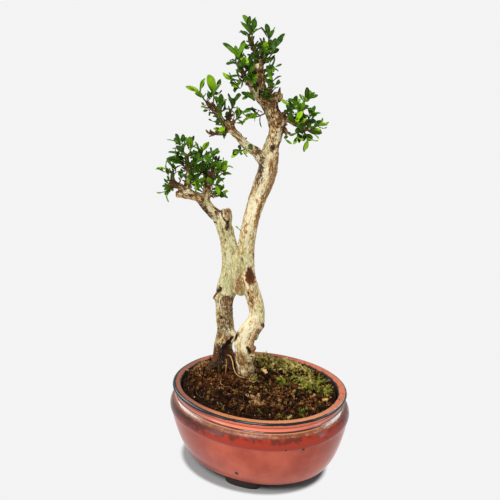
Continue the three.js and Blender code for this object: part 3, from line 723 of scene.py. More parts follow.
BRANCHES = [
    # the graft where the two trunks have grown into one, and the callus over the old cut
    [[-13, 13.4, 117, 3.8], [-13.2, 13.2, 120, 5], [-14, 13, 128, 5.6], [-14.2, 13, 141, 5.4],
     [-14.2, 13.7, 149.8, 2.6]],
    [[-23.4, 12, 163, 4], [-22.2, 10.6, 169, 4.6], [-21.8, 10, 174, 4], [-22, 10, 176.5, 2.6]],
    # left crown
    [[-34.8, 10, 181, 2.6], [-33.8, 11, 189, 2.5], [-33.2, 12, 194, 2.4], [-35, 13, 201, 1.8],
     [-36.2, 13, 208, 1.1]],
    [[-33.2, 12, 191, 2], [-29.8, 8, 198, 1.6], [-30, 5, 207, 1]],
    [[-33.6, 11, 186.5, 2], [-30, 14, 186, 1.5], [-28, 15, 183.5, 0.9]],
    [[-46.4, 8, 187.5, 2.3], [-45.6, 6, 195.5, 2.3], [-44.8, 4, 202.5, 1.9], [-45.8, 4, 209, 1.5],
     [-46, 5, 214, 1]],
    [[-47.6, 7, 188.2, 2.2], [-51.8, 4, 193.6, 1.9], [-56, 1, 195.2, 1.6], [-57.6, 0, 194.6, 0.9]],
    [[-54, 2, 195, 1.5], [-55.2, 3, 200, 1.1], [-54.8, 4, 203.5, 0.7]],
    # middle branch
    [[4, 10, 205, 3.4], [-1.4, 6, 214.4, 3.3], [-7.2, 3, 218.8, 2.7], [-11.4, 1, 223.4, 2.3],
     [-15.4, -1, 228.6, 2.3], [-18.8, -2, 232.4, 2.4], [-23, -4, 236.4, 1.8], [-25.6, -5, 241, 1.6],
     [-30, -7, 245.6, 1.5], [-32.6, -8, 249, 0.9]],
    [[-18.8, -2, 232.4, 1.8], [-19.4, 0, 237.6, 1.3], [-17.8, 3, 241.6, 0.9]],
    [[-18, -2, 232.6, 1.8], [-15.4, -4, 236.4, 1]],
    [[-19.4, -3, 230.4, 1.2], [-23.4, -6, 228.6, 0.9], [-31.4, -9, 229.2, 0.6]],
    # apex
    [[6.6, 10.2, 243, 3.9], [1, 9, 248.8, 3.4], [-2.6, 8, 253.6, 3.2], [-1.2, 7.2, 258.4, 2.3],
     [-1, 7, 263.6, 2], [-0.4, 8, 269.4, 1.8], [-1.6, 9, 274.2, 1.5], [-4, 9, 280.2, 1.2],
     [-6, 8.4, 284, 0.9]],
    [[-2.8, 8, 254.6, 2.3], [-8.2, 2, 260.4, 1.7], [-10.8, 0, 266.6, 1.3], [-11.8, 0, 270, 0.9]],
    [[-0.4, 8, 267, 1.6], [3.2, 12, 271.4, 1.2], [4.8, 13, 276, 0.8]],
    [[6.4, 10, 244, 2.6], [6.2, 9, 251, 1.6], [6, 8, 255.4, 1.3]],
    [[7.4, 11, 243.5, 3], [10.4, 12.6, 248.6, 2.4], [13.4, 13.6, 249.6, 1.9]],
    # right crown
    [[10.6, 11, 229, 3], [15.2, 9, 235, 2.4], [18.6, 7, 235.6, 2.1], [22.2, 5, 233.6, 1.8],
     [26, 4, 231.2, 1.4], [30.6, 4, 229, 0.9]],
    [[20.8, 6, 234.4, 1.6], [24.4, 2, 239, 0.9]],
    [[15.6, 8.4, 235, 1.9], [14.6, 5, 239.8, 1.5]],
    [[12.8, 11.6, 231, 2], [16.6, 10, 228, 1.5], [17.2, 9, 225.4, 0.8]],
    # knobs: over the left leg's bark plate, the old cut low on the right trunk, stubs and scars
    [[-23, 16.6, 113, 3.4], [-28.6, 14.4, 114, 2.2], [-30.6, 14, 112.6, 1.2]],
    [[-8, 5, 73.5, 3.4], [-4.6, 3, 74.4, 3.1], [-3.2, 2.4, 74, 2.2]],
    [[-20.4, 17.6, 89, 3], [-16.6, 15.4, 86, 1.8], [-17.8, 14.8, 81, 1.3]],
    [[-4, 8, 93, 3.4], [1.4, 7.4, 95.4, 1.8], [3.4, 7, 96.2, 1]],
    # the knotty old head of the apex, and the knob beside it
    [[1, 7.4, 254, 2.2], [0.4, 6.6, 259, 3], [-0.6, 6.2, 264, 3.4], [-1.2, 6.4, 268, 3], [-0.4, 7, 273, 1.6]],
    [[10.6, 11.4, 247.4, 2.6], [12, 10.8, 249.4, 3.1], [12.8, 10.6, 251, 2.2]],
    # the ridge and the upper knob on the right trunk's low bend
    [[1, 8, 98, 3], [-1.6, 8, 93, 3.2], [-4.2, 7.6, 87, 3]],
    [[-8, 5, 79, 3.6], [-4.4, 3.6, 79.8, 3.6], [-2.9, 3, 79.5, 2.6]],
    # the flare at the foot of the right trunk
    [[-10.8, 6.6, 80, 3.6], [-12, 5.8, 73, 3.7], [-11.6, 5, 66, 3.4], [-11, 4.6, 60, 3]],
    # roots that spread over the soil from the foot of each trunk
    [[-8, 6.6, 67, 2.4], [-4.6, 3.4, 61.6, 1.9], [0.4, -1, 57.6, 1.5], [4.4, -4, 53, 0.9]],
    [[-9, 6.2, 66, 2], [-12.6, 2.4, 61, 1.5], [-15, -3.4, 57, 1.2], [-16, -8, 52.6, 0.8]],
    [[-7, 8, 66, 2.2], [-2.4, 10.6, 61.6, 1.8], [3.6, 11.6, 59, 1.5], [8.6, 11, 54, 0.9]],
    [[-26, 22, 68, 4.2], [-31.4, 19, 61.4, 3], [-36, 15, 56, 1.9], [-39, 12, 51.6, 1]],
    [[-23.6, 21, 67, 4], [-20.4, 14.4, 61.6, 2.4], [-22, 8.4, 57.6, 1.6], [-24.4, 3, 53, 0.9]],
    [[-22, 24, 66, 4], [-15.6, 26.6, 61, 2.4], [-10, 29, 57, 1.4], [-6, 31, 52.6, 0.9]],
]
STEMS = [RIGHT_TRUNK, LEFT_TRUNK, *BRANCHES]
MARK_RAGGED = (0.30, 0.18)
MARK_EDGE = (0.45, 1.30)
MARK_DEPTH = 6
MARK_DEPTH_SHARE = 2.6
FRAME_SIZE = 500
FILM_WIDTH = 36
FRAME_FOCUS = FRAME_SIZE * CAMERA_LENS / FILM_WIDTH
MARKS = {
    # middle in the frame, half width and height, lean in degrees, strength, and depth where hollow
    # dark bark, cracks and black flecks, and also painted shadow: where the middle branch leaves the trunk,
    # in the old wood at the head of the apex and down between the legs at the foot
    "dark": [
        (258, 152, 4.2, 4.4, 0, 0.75, 0.3), (262, 160, 2.8, 8, 0, 0.7), (260, 170, 4, 8, 0, 0.8, 0.3),
        (259, 179.5, 4.6, 5, 0, 0.62), (273, 148, 3.4, 4.8, 0, 0.95, 0.5), (280, 144, 2, 4.5, 30, 0.95),
        (269.5, 192.5, 1.4, 2, 40, 0.9), (242.3, 260, 0.9, 4.2, -8, 0.65),
        (250.4, 275.8, 4.6, 8.6, -4, 1.7, 0.9), (248.6, 294, 1.9, 2.5, 0, 0.85, 0.4),
        (263, 325, 3.6, 1.9, 40, 0.75), (249.2, 350.8, 2.5, 5.2, -22, 1.3, 1.2),
        (251.5, 356.6, 2.6, 1.1, 0, 0.9), (253, 366, 1, 9, 0, 0.9, 0.3), (222.4, 230.5, 1.2, 4, -18, 0.6),
        (218.4, 290.6, 2.6, 4.6, 38, 1.1, 0.5), (227.4, 296.9, 2.8, 1.1, 0, 1, 0.4),
        (229.3, 299.6, 2.8, 2.2, 0, 0.8, 0.3), (226, 303, 9, 9, 0, 0.64, 0.3), (203, 209, 5, 11, -38, 0.78),
        (226, 213, 4.6, 7, 0, 0.34), (210, 215, 3.6, 6, -38, 0.72), (217.6, 211.5, 3.6, 4.6, 0, 0.7),
        (228, 225.5, 2.2, 5.4, 0, 0.95, 0.2), (255.5, 74, 1.6, 4, 0, 1.1, 0.5),
        (262, 71, 1.4, 3, 0, 1.1, 0.5), (256.5, 84, 1.6, 4.6, 0, 1.1, 0.5),
        (265.4, 63, 1.8, 3.4, 0, 1, 0.3), (223, 306, 1, 3, 0, 0.8), (232.6, 300, 1.3, 4.5, 0, 0.85),
        (232.6, 311.5, 1.4, 4.2, 0, 0.85), (221.6, 318, 2, 2.8, 0, 0.9, 0.4),
        (223, 354, 14, 12, 0, 1.0, 0.4), (233.6, 337, 4.2, 6.4, 35, 1.35), (224.5, 347, 2.8, 5, 40, 1.4),
        (228.2, 342.6, 2.4, 4.4, 38, 1.4), (231.4, 338.6, 1.6, 3.4, 36, 1.4), (225, 323, 9, 14, 0, 0.52),
        (218, 333, 3.4, 7, 0, 0.62), (215.4, 294.6, 2.2, 3.6, 40, 1), (221, 369, 21, 15, 0, 0.9),
        (232.6, 212, 0.8, 5.6, 0, 1, 0.3), (217.3, 208.4, 3.4, 1.4, 8, 1.1, 0.6),
        (221.2, 210, 1.5, 3, 0, 1.15, 0.7), (221.7, 214.6, 0.9, 3.8, -14, 1.1, 0.6),
        (224, 219.4, 1.3, 2.8, -38, 1.1, 0.6), (227.6, 222, 2.8, 1.2, 10, 1.1, 0.5),
        (229.4, 219, 0.9, 3.2, 0, 0.8, 0.2), (227.2, 228, 2.1, 3.2, 0, 0.9, 0.2),
        (206.2, 212.5, 2.6, 4, -20, 0.95, 0.3), (205, 206.5, 1.5, 1.6, 0, 0.85),
        (209.6, 220, 2, 1.6, 0, 0.95), (214.3, 222.2, 3, 1.1, -15, 0.85), (216.6, 216.5, 1, 3.6, -15, 0.8),
        (202.4, 200, 2.4, 2.4, 0, 0.8), (203.5, 204.5, 1.6, 2.2, 0, 0.9), (202.5, 209, 1, 4, -40, 0.85),
        (195, 191.4, 2, 1.7, 0, 0.95, 0.3), (191, 195.6, 3.8, 2.3, 0, 0.9, 0.3),
        (195.2, 194.6, 1.6, 1.4, 0, 0.85), (278.5, 106.5, 2.7, 6, 0, 1.05, 0.4),
        (280.6, 112, 2, 3, 0, 0.95), (285, 117.5, 3.2, 4.2, 0, 0.95, 0.6), (272.5, 106, 3, 9, 0, 0.5),
        (277, 127, 2.4, 1.8, 0, 0.6), (284.5, 131, 2.6, 5, 0, 0.95), (259.6, 93, 1.2, 6, 0, 0.95, 0.4),
        (261, 82, 2, 4.5, 0, 0.9, 0.4), (248, 80, 3, 5, 0, 0.6), (234.6, 127, 1.2, 3.2, 0, 0.85),
        (237.6, 133, 1, 6, -32, 0.5), (252, 141.6, 3.2, 0.7, 0, 0.95),
        (257.3, 146.5, 2.8, 3.6, 0, 0.9, 0.3), (243, 72, 5, 12, 0, 0.95), (253, 60, 3, 4, 0, 0.9),
    ],
    "rust": [
        (257, 184, 3.5, 4, 10, 0.6), (251.4, 192, 1.5, 8.5, 14, 0.75), (275.4, 166, 1.8, 8, 0, 0.6),
        (268, 188, 1.6, 8, 14, 0.5), (256.6, 200.2, 1.4, 2.2, 0, 1), (257.2, 218.5, 1.6, 8, 8, 0.9),
        (255.6, 228.5, 1.4, 8, 8, 0.6), (246, 232, 1.3, 2.9, 8, 1.1), (238.3, 253, 1.4, 2.6, 0, 0.8),
        (252.7, 257, 1.2, 6, 0, 0.65), (250.4, 277.5, 5.4, 9.5, -4, 1.7), (239.5, 281, 4.2, 6.5, 0, 0.85),
        (238, 288.5, 3.6, 5.5, 0, 1), (241.2, 278.4, 1.4, 3.4, -45, 0.9), (249.5, 298.3, 1.6, 1.8, 0, 0.8),
        (253, 292, 2.3, 2, 0, 0.7), (262.5, 325.6, 4, 2.3, 38, 1), (258.3, 331.4, 2.8, 4.2, 38, 1.2),
        (255, 339, 1.6, 5.4, 14, 1.2), (253.3, 347, 2, 4.6, 0, 1.1), (253.4, 348.8, 3.8, 5.8, 0, 1.8),
        (255, 366, 1.4, 9, 0, 0.9), (222.2, 243, 1.4, 5, 0, 0.6), (221.7, 258, 1.2, 3.4, 0, 0.6),
        (217.4, 223.6, 1.2, 3, -25, 0.7), (213.2, 297.2, 1.9, 2, 0, 1.3), (215.4, 303, 1, 5.5, -6, 1),
        (221.9, 299, 0.9, 2.8, 0, 0.8), (226, 305.5, 8, 7, 0, 0.5), (215.4, 294.6, 2.2, 3.6, 40, 1),
        (232, 304, 1.6, 5, 0, 0.6), (220.4, 312, 0.9, 3.6, 0, 0.8), (227.8, 323.3, 2.5, 0.9, 0, 1),
        (224, 340.4, 5, 1.4, 0, 0.8), (228, 352.8, 3, 3.4, 0, 1.6), (226, 213.5, 4.6, 7, 0, 0.7),
        (217, 213, 4, 4, 0, 0.8), (214, 352, 3.4, 10, 0, 1.4), (240, 362, 2.4, 9, -12, 0.7),
        (229.4, 226, 0.9, 3.2, 0, 0.9), (274, 104, 2.4, 6, 0, 0.8), (277, 118, 3, 5.5, 0, 0.7),
        (277.6, 127, 2.6, 2.2, 0, 0.9), (286, 127, 3, 6, 0, 0.6), (229.4, 127, 1.8, 4.6, -30, 0.65),
        (236, 137.5, 0.9, 6.5, -32, 0.8), (241, 142.5, 1.5, 3, -30, 0.6), (253.2, 151.6, 2.2, 2.2, 0, 0.9),
        (258, 147, 2, 3, 0, 0.6), (248, 82, 2.4, 4, 0, 0.7), (176.2, 194.6, 1.4, 2.4, 0, 1),
        (202, 202, 2.4, 2.8, 0, 0.6), (199.6, 197, 1.6, 2.2, 0, 0.7), (262.5, 70, 2, 4, 0, 0.7),
        (260, 75, 2, 3, 0, 0.6),
    ],
    "tan": [
        (271.5, 171, 4, 15, 0, 0.75), (268, 188, 2.6, 9, 14, 0.9), (263, 200, 2.6, 5, 0, 0.9),
        (259.7, 209, 2, 6, 12, 1), (257, 219, 2.2, 9, 8, 0.9), (243.2, 215, 1.4, 11, 14, 0.5),
        (241, 236, 1.3, 12, 0, 0.6), (254, 250, 2, 10, 0, 0.6), (244, 252.5, 7, 5, 0, 0.7),
        (245, 262, 6, 7, 0, 0.6), (240.5, 270, 4, 7, 0, 1), (241, 285, 6, 9, 0, 1),
        (248, 291.5, 5, 3, 0, 0.9), (251, 302, 3.2, 8, -12, 0.9), (263.4, 312, 1.4, 9, -12, 0.5),
        (252.6, 338, 1.4, 4.5, 10, 1), (241, 360, 4, 11, -12, 1), (248, 366, 5, 11, 0, 0.8),
        (229, 215, 4, 8, 0, 1), (222, 248, 1.7, 14, 0, 0.75), (222, 299, 3.6, 3.4, 0, 0.9),
        (231, 304, 3, 7, 0, 0.9), (219, 313, 1.6, 7, 0, 0.6), (230.6, 318, 2, 7, 0, 0.6),
        (219, 336, 2.8, 3.6, 0, 0.9), (214.2, 342, 2.2, 5, 0, 0.9), (221.6, 294.6, 5, 1.2, 12, 0.7),
        (233, 283, 3, 6, 0, 0.8), (223, 321, 4, 3, 0, 0.35), (266, 104, 1.8, 6, -10, 0.9),
        (261.5, 100, 2.6, 6, -25, 0.9), (268, 121, 3.2, 5, -20, 0.5), (281, 122, 2.2, 6, 0, 0.6),
        (229.4, 126, 3.2, 5, -30, 0.9), (236, 136, 3, 9, -32, 0.6), (250, 154.4, 2.6, 2, 0, 0.6),
        (270, 134, 3, 6, 0, 0.5), (257, 68, 5, 6, 0, 0.8), (259, 78, 3, 6, 0, 0.9),
        (249, 86, 5, 6, -30, 0.9), (255, 96, 5, 8, -25, 1),
    ],
    "green": [
        (246, 259, 5.5, 8, 0, 1), (242, 268, 3, 5, 0, 0.8), (250, 266, 3, 2, 0, 0.8),
        (256, 289, 2.4, 5, 0, 0.6), (253, 246, 1.6, 8, 0, 0.6), (257.6, 312, 2, 12, 0, 0.35),
        (249, 233, 3, 6, 0, 0.35), (250.5, 369, 2.4, 5, 0, 0.6), (238, 348, 1.6, 9, 0, 0.4),
        (262.6, 150, 5, 9, 0, 0.5), (266, 140, 2, 7, 0, 0.5), (227.4, 236, 1.7, 4.6, 0, 1.2),
        (233, 236, 1.6, 6, 0, 0.8), (224.6, 262, 2, 6, 0, 1), (225, 281, 4.6, 5.4, 0, 1.4),
        (227, 288, 5, 3.4, 0, 1), (226.4, 314, 3.2, 4.4, 0, 0.9), (229, 317, 2.8, 4, 0, 0.6),
        (229, 248, 5, 12, 0, 0.5), (233, 262, 2.6, 9, 0, 0.6), (208, 204, 3.2, 3.4, 0, 0.8),
        (219.5, 225, 1.8, 6, -15, 0.5), (266.5, 113, 2, 8, 0, 0.7), (268, 120, 2, 5, -20, 0.5),
        (238, 134, 1.4, 7, -32, 0.7), (272, 99, 2, 4, 0, 0.4),
    ],
    # the pale callus of old cuts, and painted highlights down the middle of both trunks
    "pale": [
        (252, 208, 4, 14, 10, 0.8), (249, 225, 3, 9, 4, 0.8), (246, 240, 3, 6, 0, 0.7),
        (246, 333, 3.6, 10, 12, 1.1), (243, 344, 3, 7, 6, 0.9), (256, 318, 3.4, 9, -8, 0.7),
        (267, 172, 1.6, 12, 0, 0.9), (262, 190, 3.4, 8, 12, 0.7), (258.4, 196, 3, 6, 12, 0.8),
        (271, 156, 2.4, 4, 0, 0.8), (254, 326, 3, 4, 30, 0.8), (229.2, 258, 2.2, 12, 0, 1.5),
        (229, 270, 2.2, 5, 0, 1.2), (224.2, 291, 2.8, 3, 0, 1.5), (227, 332, 5, 5, 0, 1.3),
        (227.4, 218.4, 1.5, 1.6, 0, 1), (208.5, 206, 3, 3, 0, 0.8), (226.4, 325, 1.6, 1.4, 0, 0.9),
        (226, 240, 3, 6, 0, 0.5), (205.5, 200, 2, 2.6, 0, 0.5), (189, 178.4, 1.9, 1.5, 0, 1.5),
        (244, 140, 2, 3, -30, 0.8), (249, 143.4, 3.4, 2, -10, 0.9), (279, 133, 1.8, 5, 0, 0.7),
        (256.6, 66, 2.6, 2.4, 0, 1.3), (263, 62.6, 1.6, 1.4, 0, 2.6), (261.3, 68.6, 1.3, 1.2, 0, 2.4),
        (256, 90, 3.6, 5, -20, 0.9), (249, 86, 5, 6, -30, 0.8), (255, 96, 5, 8, -25, 0.8),
        (230, 132, 2.4, 2.4, 0, 0.7), (282.6, 124, 1.4, 4, 0, 0.5), (187, 192, 6, 2, 0, 0.6),
    ],
}
CHUNK = 12000
FIBRE_STRETCH = 0.36
FIBRE_SHIFT = 5.0
RIDGE_HEIGHT = 0.9
THREAD_HEIGHT = 0.22
PIMPLE_HEIGHT = 0.9
PLATE_HEIGHT = 0.35
SMOOTH_BARK = 0.35
COARSE_HEIGHTS = (150, 235)
THIN_RADIUS = 3
FACING_TURN = (-0.45, 0.0)
BARK_PATCHES = {
    # cells to the millimetre, a shift that sets it apart, and the noise where it begins and is full
    "far side": (0.13, 60, 0.12, 0.5),
    "mottle": (0.28, 8, -0.3, 0.35),
    "black": (0.5, 33, 0.12, 0.36),
    "rust": (0.2, 15, 0.0, 0.4),
    "lichen": (0.09, 30, 0.05, 0.4),
    "tan": (0.34, 70, -0.25, 0.3),
}
FOOT_HEIGHTS = (66, 80)
FOOT_SIDE = (15, 18)
LEFT_CROWN_HEIGHTS = (176, 196)
LEFT_CROWN_SIDE = -20
CROWN_HEIGHTS = (206, 240)
SLIM_RADII = (1.4, 3.0)
ROOT_HEIGHTS = (62, 70)
SHADED_SIDE_TURN = (0.55, 0.95)
SHADED_SIDE_HEIGHTS = (140, 160)
GREEN_FROM = (84, 118)
GREEN_TO = (168, 184)
LICHEN_TO = (165, 200)
TAN_FOOT_HEIGHTS = (96, 116)
BARK_PALE = (0.76, 0.69, 0.47)
BARK_CREAM = (0.68, 0.53, 0.27)
BARK_TAN = (0.48, 0.28, 0.10)
BARK_BROWN = (0.19, 0.092, 0.036)
BARK_DEEP = (0.12, 0.036, 0.014)
BARK_GREEN = (0.34, 0.34, 0.10)
BARK_LICHEN = (0.66, 0.61, 0.38)
BARK_FLECK = (0.075, 0.040, 0.020)
BARK_BLACK = (0.018, 0.011, 0.008)
BARK_RUST = (0.34, 0.115, 0.035)
BARK_RAMP = [(0.41, BARK_BROWN), (0.455, BARK_TAN), (0.495, BARK_CREAM), (0.545, BARK_PALE)]
RUST_RAMP = [(0.36, BARK_BLACK), (0.45, BARK_BROWN), (0.52, BARK_RUST), (0.64, BARK_TAN)]
EYE = Matrix.Rotation(-TREE_TURN, 3, "Z") @ camera.location / MM
EYE_AXES = Matrix.Rotation(-TREE_TURN, 3, "Z") @ towards_camera.to_track_quat("Z", "Y").to_matrix()


class Stem:
    """One stem as fine stations: centres, radii, and frames turned as little as they can be."""

    def __init__(self, stations):
        points = np.array(stations, float)
        length = np.linalg.norm(np.diff(points[:, :3], axis=0), axis=1).sum()
        shares = np.linspace(0, 1, max(4, math.ceil(length / STEM_STEP)) + 1)
        line = curve_at(points, shares)
        self.centres = line[:, :3]
        self.radii = line[:, 3]
        self.at = shares * (len(points) - 1)
        self.depth = TRUNK_FLUTE_DEPTH if points[:, 3].max() > TRUNK_RADIUS else LIMB_FLUTE_DEPTH
        along = np.gradient(self.centres, axis=0)
        self.along = along / np.linalg.norm(along, axis=1)[:, None]
        self.run = np.concatenate([[0], np.linalg.norm(np.diff(self.centres, axis=0), axis=1).cumsum()])
        side = np.array([1.0, 0.0, 0.0])
        sides = []
        for tangent in self.along:
            side = side - tangent * side.dot(tangent)
            side = side / np.linalg.norm(side)
            sides.append(side)
        self.side = np.array(sides)
        self.front = np.cross(self.side, self.along)

    def tube(self):
        """A plain capped tube: its rows of points, one row to a station."""
        angle = round_angles(STEM_SIDES)[None, :, None]
        ring = np.sin(angle) * self.side[:, None] + np.cos(angle) * self.front[:, None]
        return self.centres[:, None] + ring * self.radii[:, None, None]

    def nearest(self, points):
        """For each point: how far it is from the stem's skin, the radius there, the station it is at,
        how far along that lies, and the turn round the stem."""
        first, step = self.centres[:-1], np.diff(self.centres, axis=0)
        offset = points[:, None] - first[None]
        share = np.clip((offset * step).sum(-1) / (step * step).sum(-1), 0, 1)
        gap = np.linalg.norm(offset - share[..., None] * step, axis=-1)
        radius = self.radii[:-1] + share * np.diff(self.radii)
        best = np.argmin(gap - radius, axis=1)
        row = np.arange(len(points))
        share, radius = share[row, best], radius[row, best]
        out = points - first[best] - share[:, None] * step[best]
        angle = np.arctan2((out * self.side[best]).sum(-1), (out * self.front[best]).sum(-1))
        at, run = (values[best] + share * (values[best + 1] - values[best]) for values in (self.at, self.run))
        return gap[row, best] - radius, radius, at, run, angle


def grown_mesh(stems):
    """The stems' tubes grown together into one skin of even quads."""
    places, faces, start = [], [], 0
    for stem in stems:
        tube = stem.tube()
        places.append(tube.reshape(-1, 3))
        faces += capped(len(tube), STEM_SIDES, start)
        start += len(tube) * STEM_SIDES
    rough = bpy.data.meshes.new("rough")
    rough.from_pydata((np.concatenate(places) * MM).tolist(), [], faces)
    holder = show("rough", rough)
    remesh = holder.modifiers.new("grown_together", "REMESH")
    remesh.mode = "VOXEL"
    remesh.voxel_size = WOOD_VOXEL * MM
    depsgraph = bpy.context.evaluated_depsgraph_get()
    skin = bpy.data.meshes.new_from_object(holder.evaluated_get(depsgraph))
    bpy.data.objects.remove(holder)
    bpy.data.meshes.remove(rough)
    return skin


def vertex_data(vertices, field):
    """Rows of three numbers from a mesh's vertices or their normals."""
    values = np.empty(len(vertices) * 3, np.float32)
    vertices.foreach_get(field, values)
    return values.reshape(-1, 3).astype(float)


def noise_at(points):
    """Noise from -1 to 1 at rows of points."""
    return np.array([noise.noise(point) for point in points.tolist()])


def in_frame(points):
    """Where rows of points show in the camera's square frame, and how far from it they are."""
    across, up, behind = ((points - np.array(EYE)) @ np.array(EYE_AXES)).T
    middle = FRAME_SIZE / 2
    return middle - FRAME_FOCUS * across / behind, middle + FRAME_FOCUS * up / behind, -behind


def marked(kind, seen, facing, ragged):
    """How strongly the marks of one kind cover each point, and how deep their hollows go. Among the
    dark marks is painted shadow, and among the pale ones painted highlight.
    """
    mark_cover, sunk = np.zeros(len(facing)), np.zeros(len(facing))
    u, v, distance = seen
    for mark_u, mark_v, half_width, half_height, lean, strength, *hollow in MARKS[kind]:
        turn = math.radians(lean)
        across = (u - mark_u) * math.cos(turn) + (v - mark_v) * math.sin(turn)
        along = (u - mark_u) * math.sin(turn) - (v - mark_v) * math.cos(turn)
        edge = np.hypot(across / half_width, along / half_height)
        inside = (edge < MARK_EDGE[1]) & (facing > 0)
        if not inside.any():
            continue
        depth = max(MARK_DEPTH, MARK_DEPTH_SHARE * half_width)
        reached = facing * (distance < distance[inside].min() + depth)
        mask = (1 - rise(edge + ragged, *MARK_EDGE)) * reached
        mark_cover = np.maximum(mark_cover, strength * mask)
        sunk += sum(hollow) * mask
    return mark_cover, sunk


stems = [Stem(stations) for stations in STEMS]
skin = grown_mesh(stems)
points = vertex_data(skin.vertices, "co") / MM
normals = vertex_data(skin.vertex_normals, "vector")
near = []
for chunk in np.array_split(points, max(1, len(points) // CHUNK)):
    near.append([stem.nearest(chunk) for stem in stems])
gap, radius, at, run, angle = (
    np.stack([np.concatenate([rows[index][field] for rows in near]) for index in range(len(stems))], axis=1)
    for field in range(5))
closest = gap.argmin(axis=1)
row = np.arange(len(points))
closeness = np.exp(-(gap - gap.min(axis=1)[:, None]) / WOOD_FILLET)
fillet = WOOD_FILLET * np.log(closeness.sum(axis=1))
depth = np.array([stem.depth for stem in stems])
flutes = radius * depth * (np.sin(3 * angle + at * 0.8) + 0.6 * np.cos(2 * angle - at * 1.7))
flutes = (flutes * closeness).sum(axis=1) / closeness.sum(axis=1)
turn, reach, length = angle[row, closest], radius[row, closest], run[row, closest]
along_grain = length * FIBRE_STRETCH + closest * FIBRE_SHIFT
fibre = np.stack([np.cos(turn) * reach, np.sin(turn) * reach, along_grain], axis=1)
height = points[:, 2]
ridges = RIDGE_HEIGHT * (np.abs(noise_at(fibre * 0.5 + 3)) - 0.2)
threads = THREAD_HEIGHT * noise_at(fibre * (1.7, 1.7, 1.2) + 11)
pimples = PIMPLE_HEIGHT * np.maximum(0, noise_at(points * 0.8) - 0.3)
plates = PLATE_HEIGHT * noise_at(points * 0.33 + 40)
coarse_bark = SMOOTH_BARK + (1 - SMOOTH_BARK) * rise(height, *COARSE_HEIGHTS)
thin = np.clip(reach / THIN_RADIUS, 0.25, 1)
relief = coarse_bark * (ridges + threads + pimples + plates) * thin
points = points + normals * (fillet + flutes + relief)[:, None]

seen = in_frame(points)
towards = np.array(EYE) - points
facing = rise((normals * towards).sum(axis=1) / np.linalg.norm(towards, axis=1), *FACING_TURN)
ragged = noise_at(points * 0.55 + 90) * MARK_RAGGED[0] + noise_at(points * 1.4 + 20) * MARK_RAGGED[1]
stains_and_shading = {kind: marked(kind, seen, facing, ragged) for kind in MARKS}
points = points - normals * stains_and_shading["dark"][1][:, None]


def patches(title):
    """How strongly soft patches of one kind lie on each point of the wood."""
    cells, shift, low, high = BARK_PATCHES[title]
    return rise(noise_at(points * cells + shift), low, high)


left_side = np.isin(closest, [1, 2, 3]) * 1.0
foot = (1 - rise(height, *FOOT_HEIGHTS)) * rise(-points[:, 0], *FOOT_SIDE)
crown = np.maximum(rise(height, *LEFT_CROWN_HEIGHTS) * (points[:, 0] < LEFT_CROWN_SIDE),
                   rise(height, *CROWN_HEIGHTS))
crown *= 1 - 0.9 * np.clip(stains_and_shading["pale"][0], 0, 1)
slim = 1 - rise(reach, *SLIM_RADII)
roots = (closest >= len(stems) - ROOTS) * (1 - rise(height, *ROOT_HEIGHTS))
# painted shade: the right trunk's right-facing side, from mid height up, turns orange-brown
edge = rise(normals[:, 0], *SHADED_SIDE_TURN) * (1 - left_side) * rise(height, *SHADED_SIDE_HEIGHTS)
left_green = 0.68 * left_side * rise(height, *GREEN_FROM) * (1 - rise(height, *GREEN_TO))
lichen = 0.5 * patches("lichen") * (1 - rise(height, *LICHEN_TO))
# dark: the dark marks, painted shadow among them, and darker bark at the foot, in the crowns, on far sides
# and on the roots
dark = np.maximum.reduce([
    stains_and_shading["dark"][0],
    0.65 * (1 - facing) * patches("far side"),
    foot,
    crown * (0.05 + 0.45 * patches("mottle")),
    0.8 * crown * slim,
    0.95 * crown * patches("black"),
    0.85 * roots,
])
# rust: rust marks and rusty patches in the crowns, and the painted shade down the right trunk's right-facing
# side
rust = np.maximum.reduce([stains_and_shading["rust"][0], 0.5 * crown * patches("rust"), 0.8 * edge])
green = np.maximum(stains_and_shading["green"][0], np.maximum(left_green, lichen) * (1 - edge))
crown_tan = crown * (0.3 + 1.1 * patches("tan"))
left_tan = left_side * (0.32 + 0.5 * (1 - rise(height, *TAN_FOOT_HEIGHTS)))
# the pale marks raise the tone: partly pale callus, partly painted highlight
tone = stains_and_shading["pale"][0] - stains_and_shading["tan"][0] - crown_tan - left_tan
skin.vertices.foreach_set("co", (points * MM).astype(np.float32).ravel())

bark = new_material("flaking_bark")
tree = bark.node_tree
along_fibre = read(tree, "fibre", "Vector")
stain_and_shading = put(tree, "ShaderNodeSeparateXYZ", {"Vector": read(tree, "stain_and_shading", "Vector")}).outputs
patch = grain(tree, scale=0.30, detail=4, roughness=0.62, place=along_fibre)
mosaic = grain(tree, scale=1.15, detail=5, roughness=0.78, place=along_fibre)
fine_mosaic = grain(tree, scale=3.0, detail=3, roughness=0.7, place=along_fibre)
shade_of_bark = summed(tree, (patch, 0.3), (mosaic, 0.7), (read(tree, "tone"), 0.07))
green_bark = mixed(tree, steps(tree, mosaic, 0.42, 0.58), BARK_GREEN, BARK_LICHEN)
rust_bark = ramped(tree, fine_mosaic, RUST_RAMP)
rusted = minus(tree, stain_and_shading["Y"], swing(tree, mosaic, 3.0))
flecks = speckle(tree, 2.2, steps(tree, patch, 0.38, 0.62, 0.42, 0.14), 0.06, along_fibre)
cracks = plus(tree, swing(tree, mosaic, 3.2), swing(tree, fine_mosaic, 1.6))
torn = steps(tree, minus(tree, stain_and_shading["X"], cracks), 0.42, 0.62)
charred = minus(tree, fine_mosaic, times(tree, minus(tree, stain_and_shading["X"], 0.7), 0.4))
charred = summed(tree, (charred, 1), (stain_and_shading["Y"], 0.25))
dark_bark = mixed(tree, stain_and_shading["Y"], BARK_BROWN, BARK_DEEP)
dark_bark = mixed(tree, steps(tree, charred, 0.36, 0.58), BARK_BLACK, dark_bark)
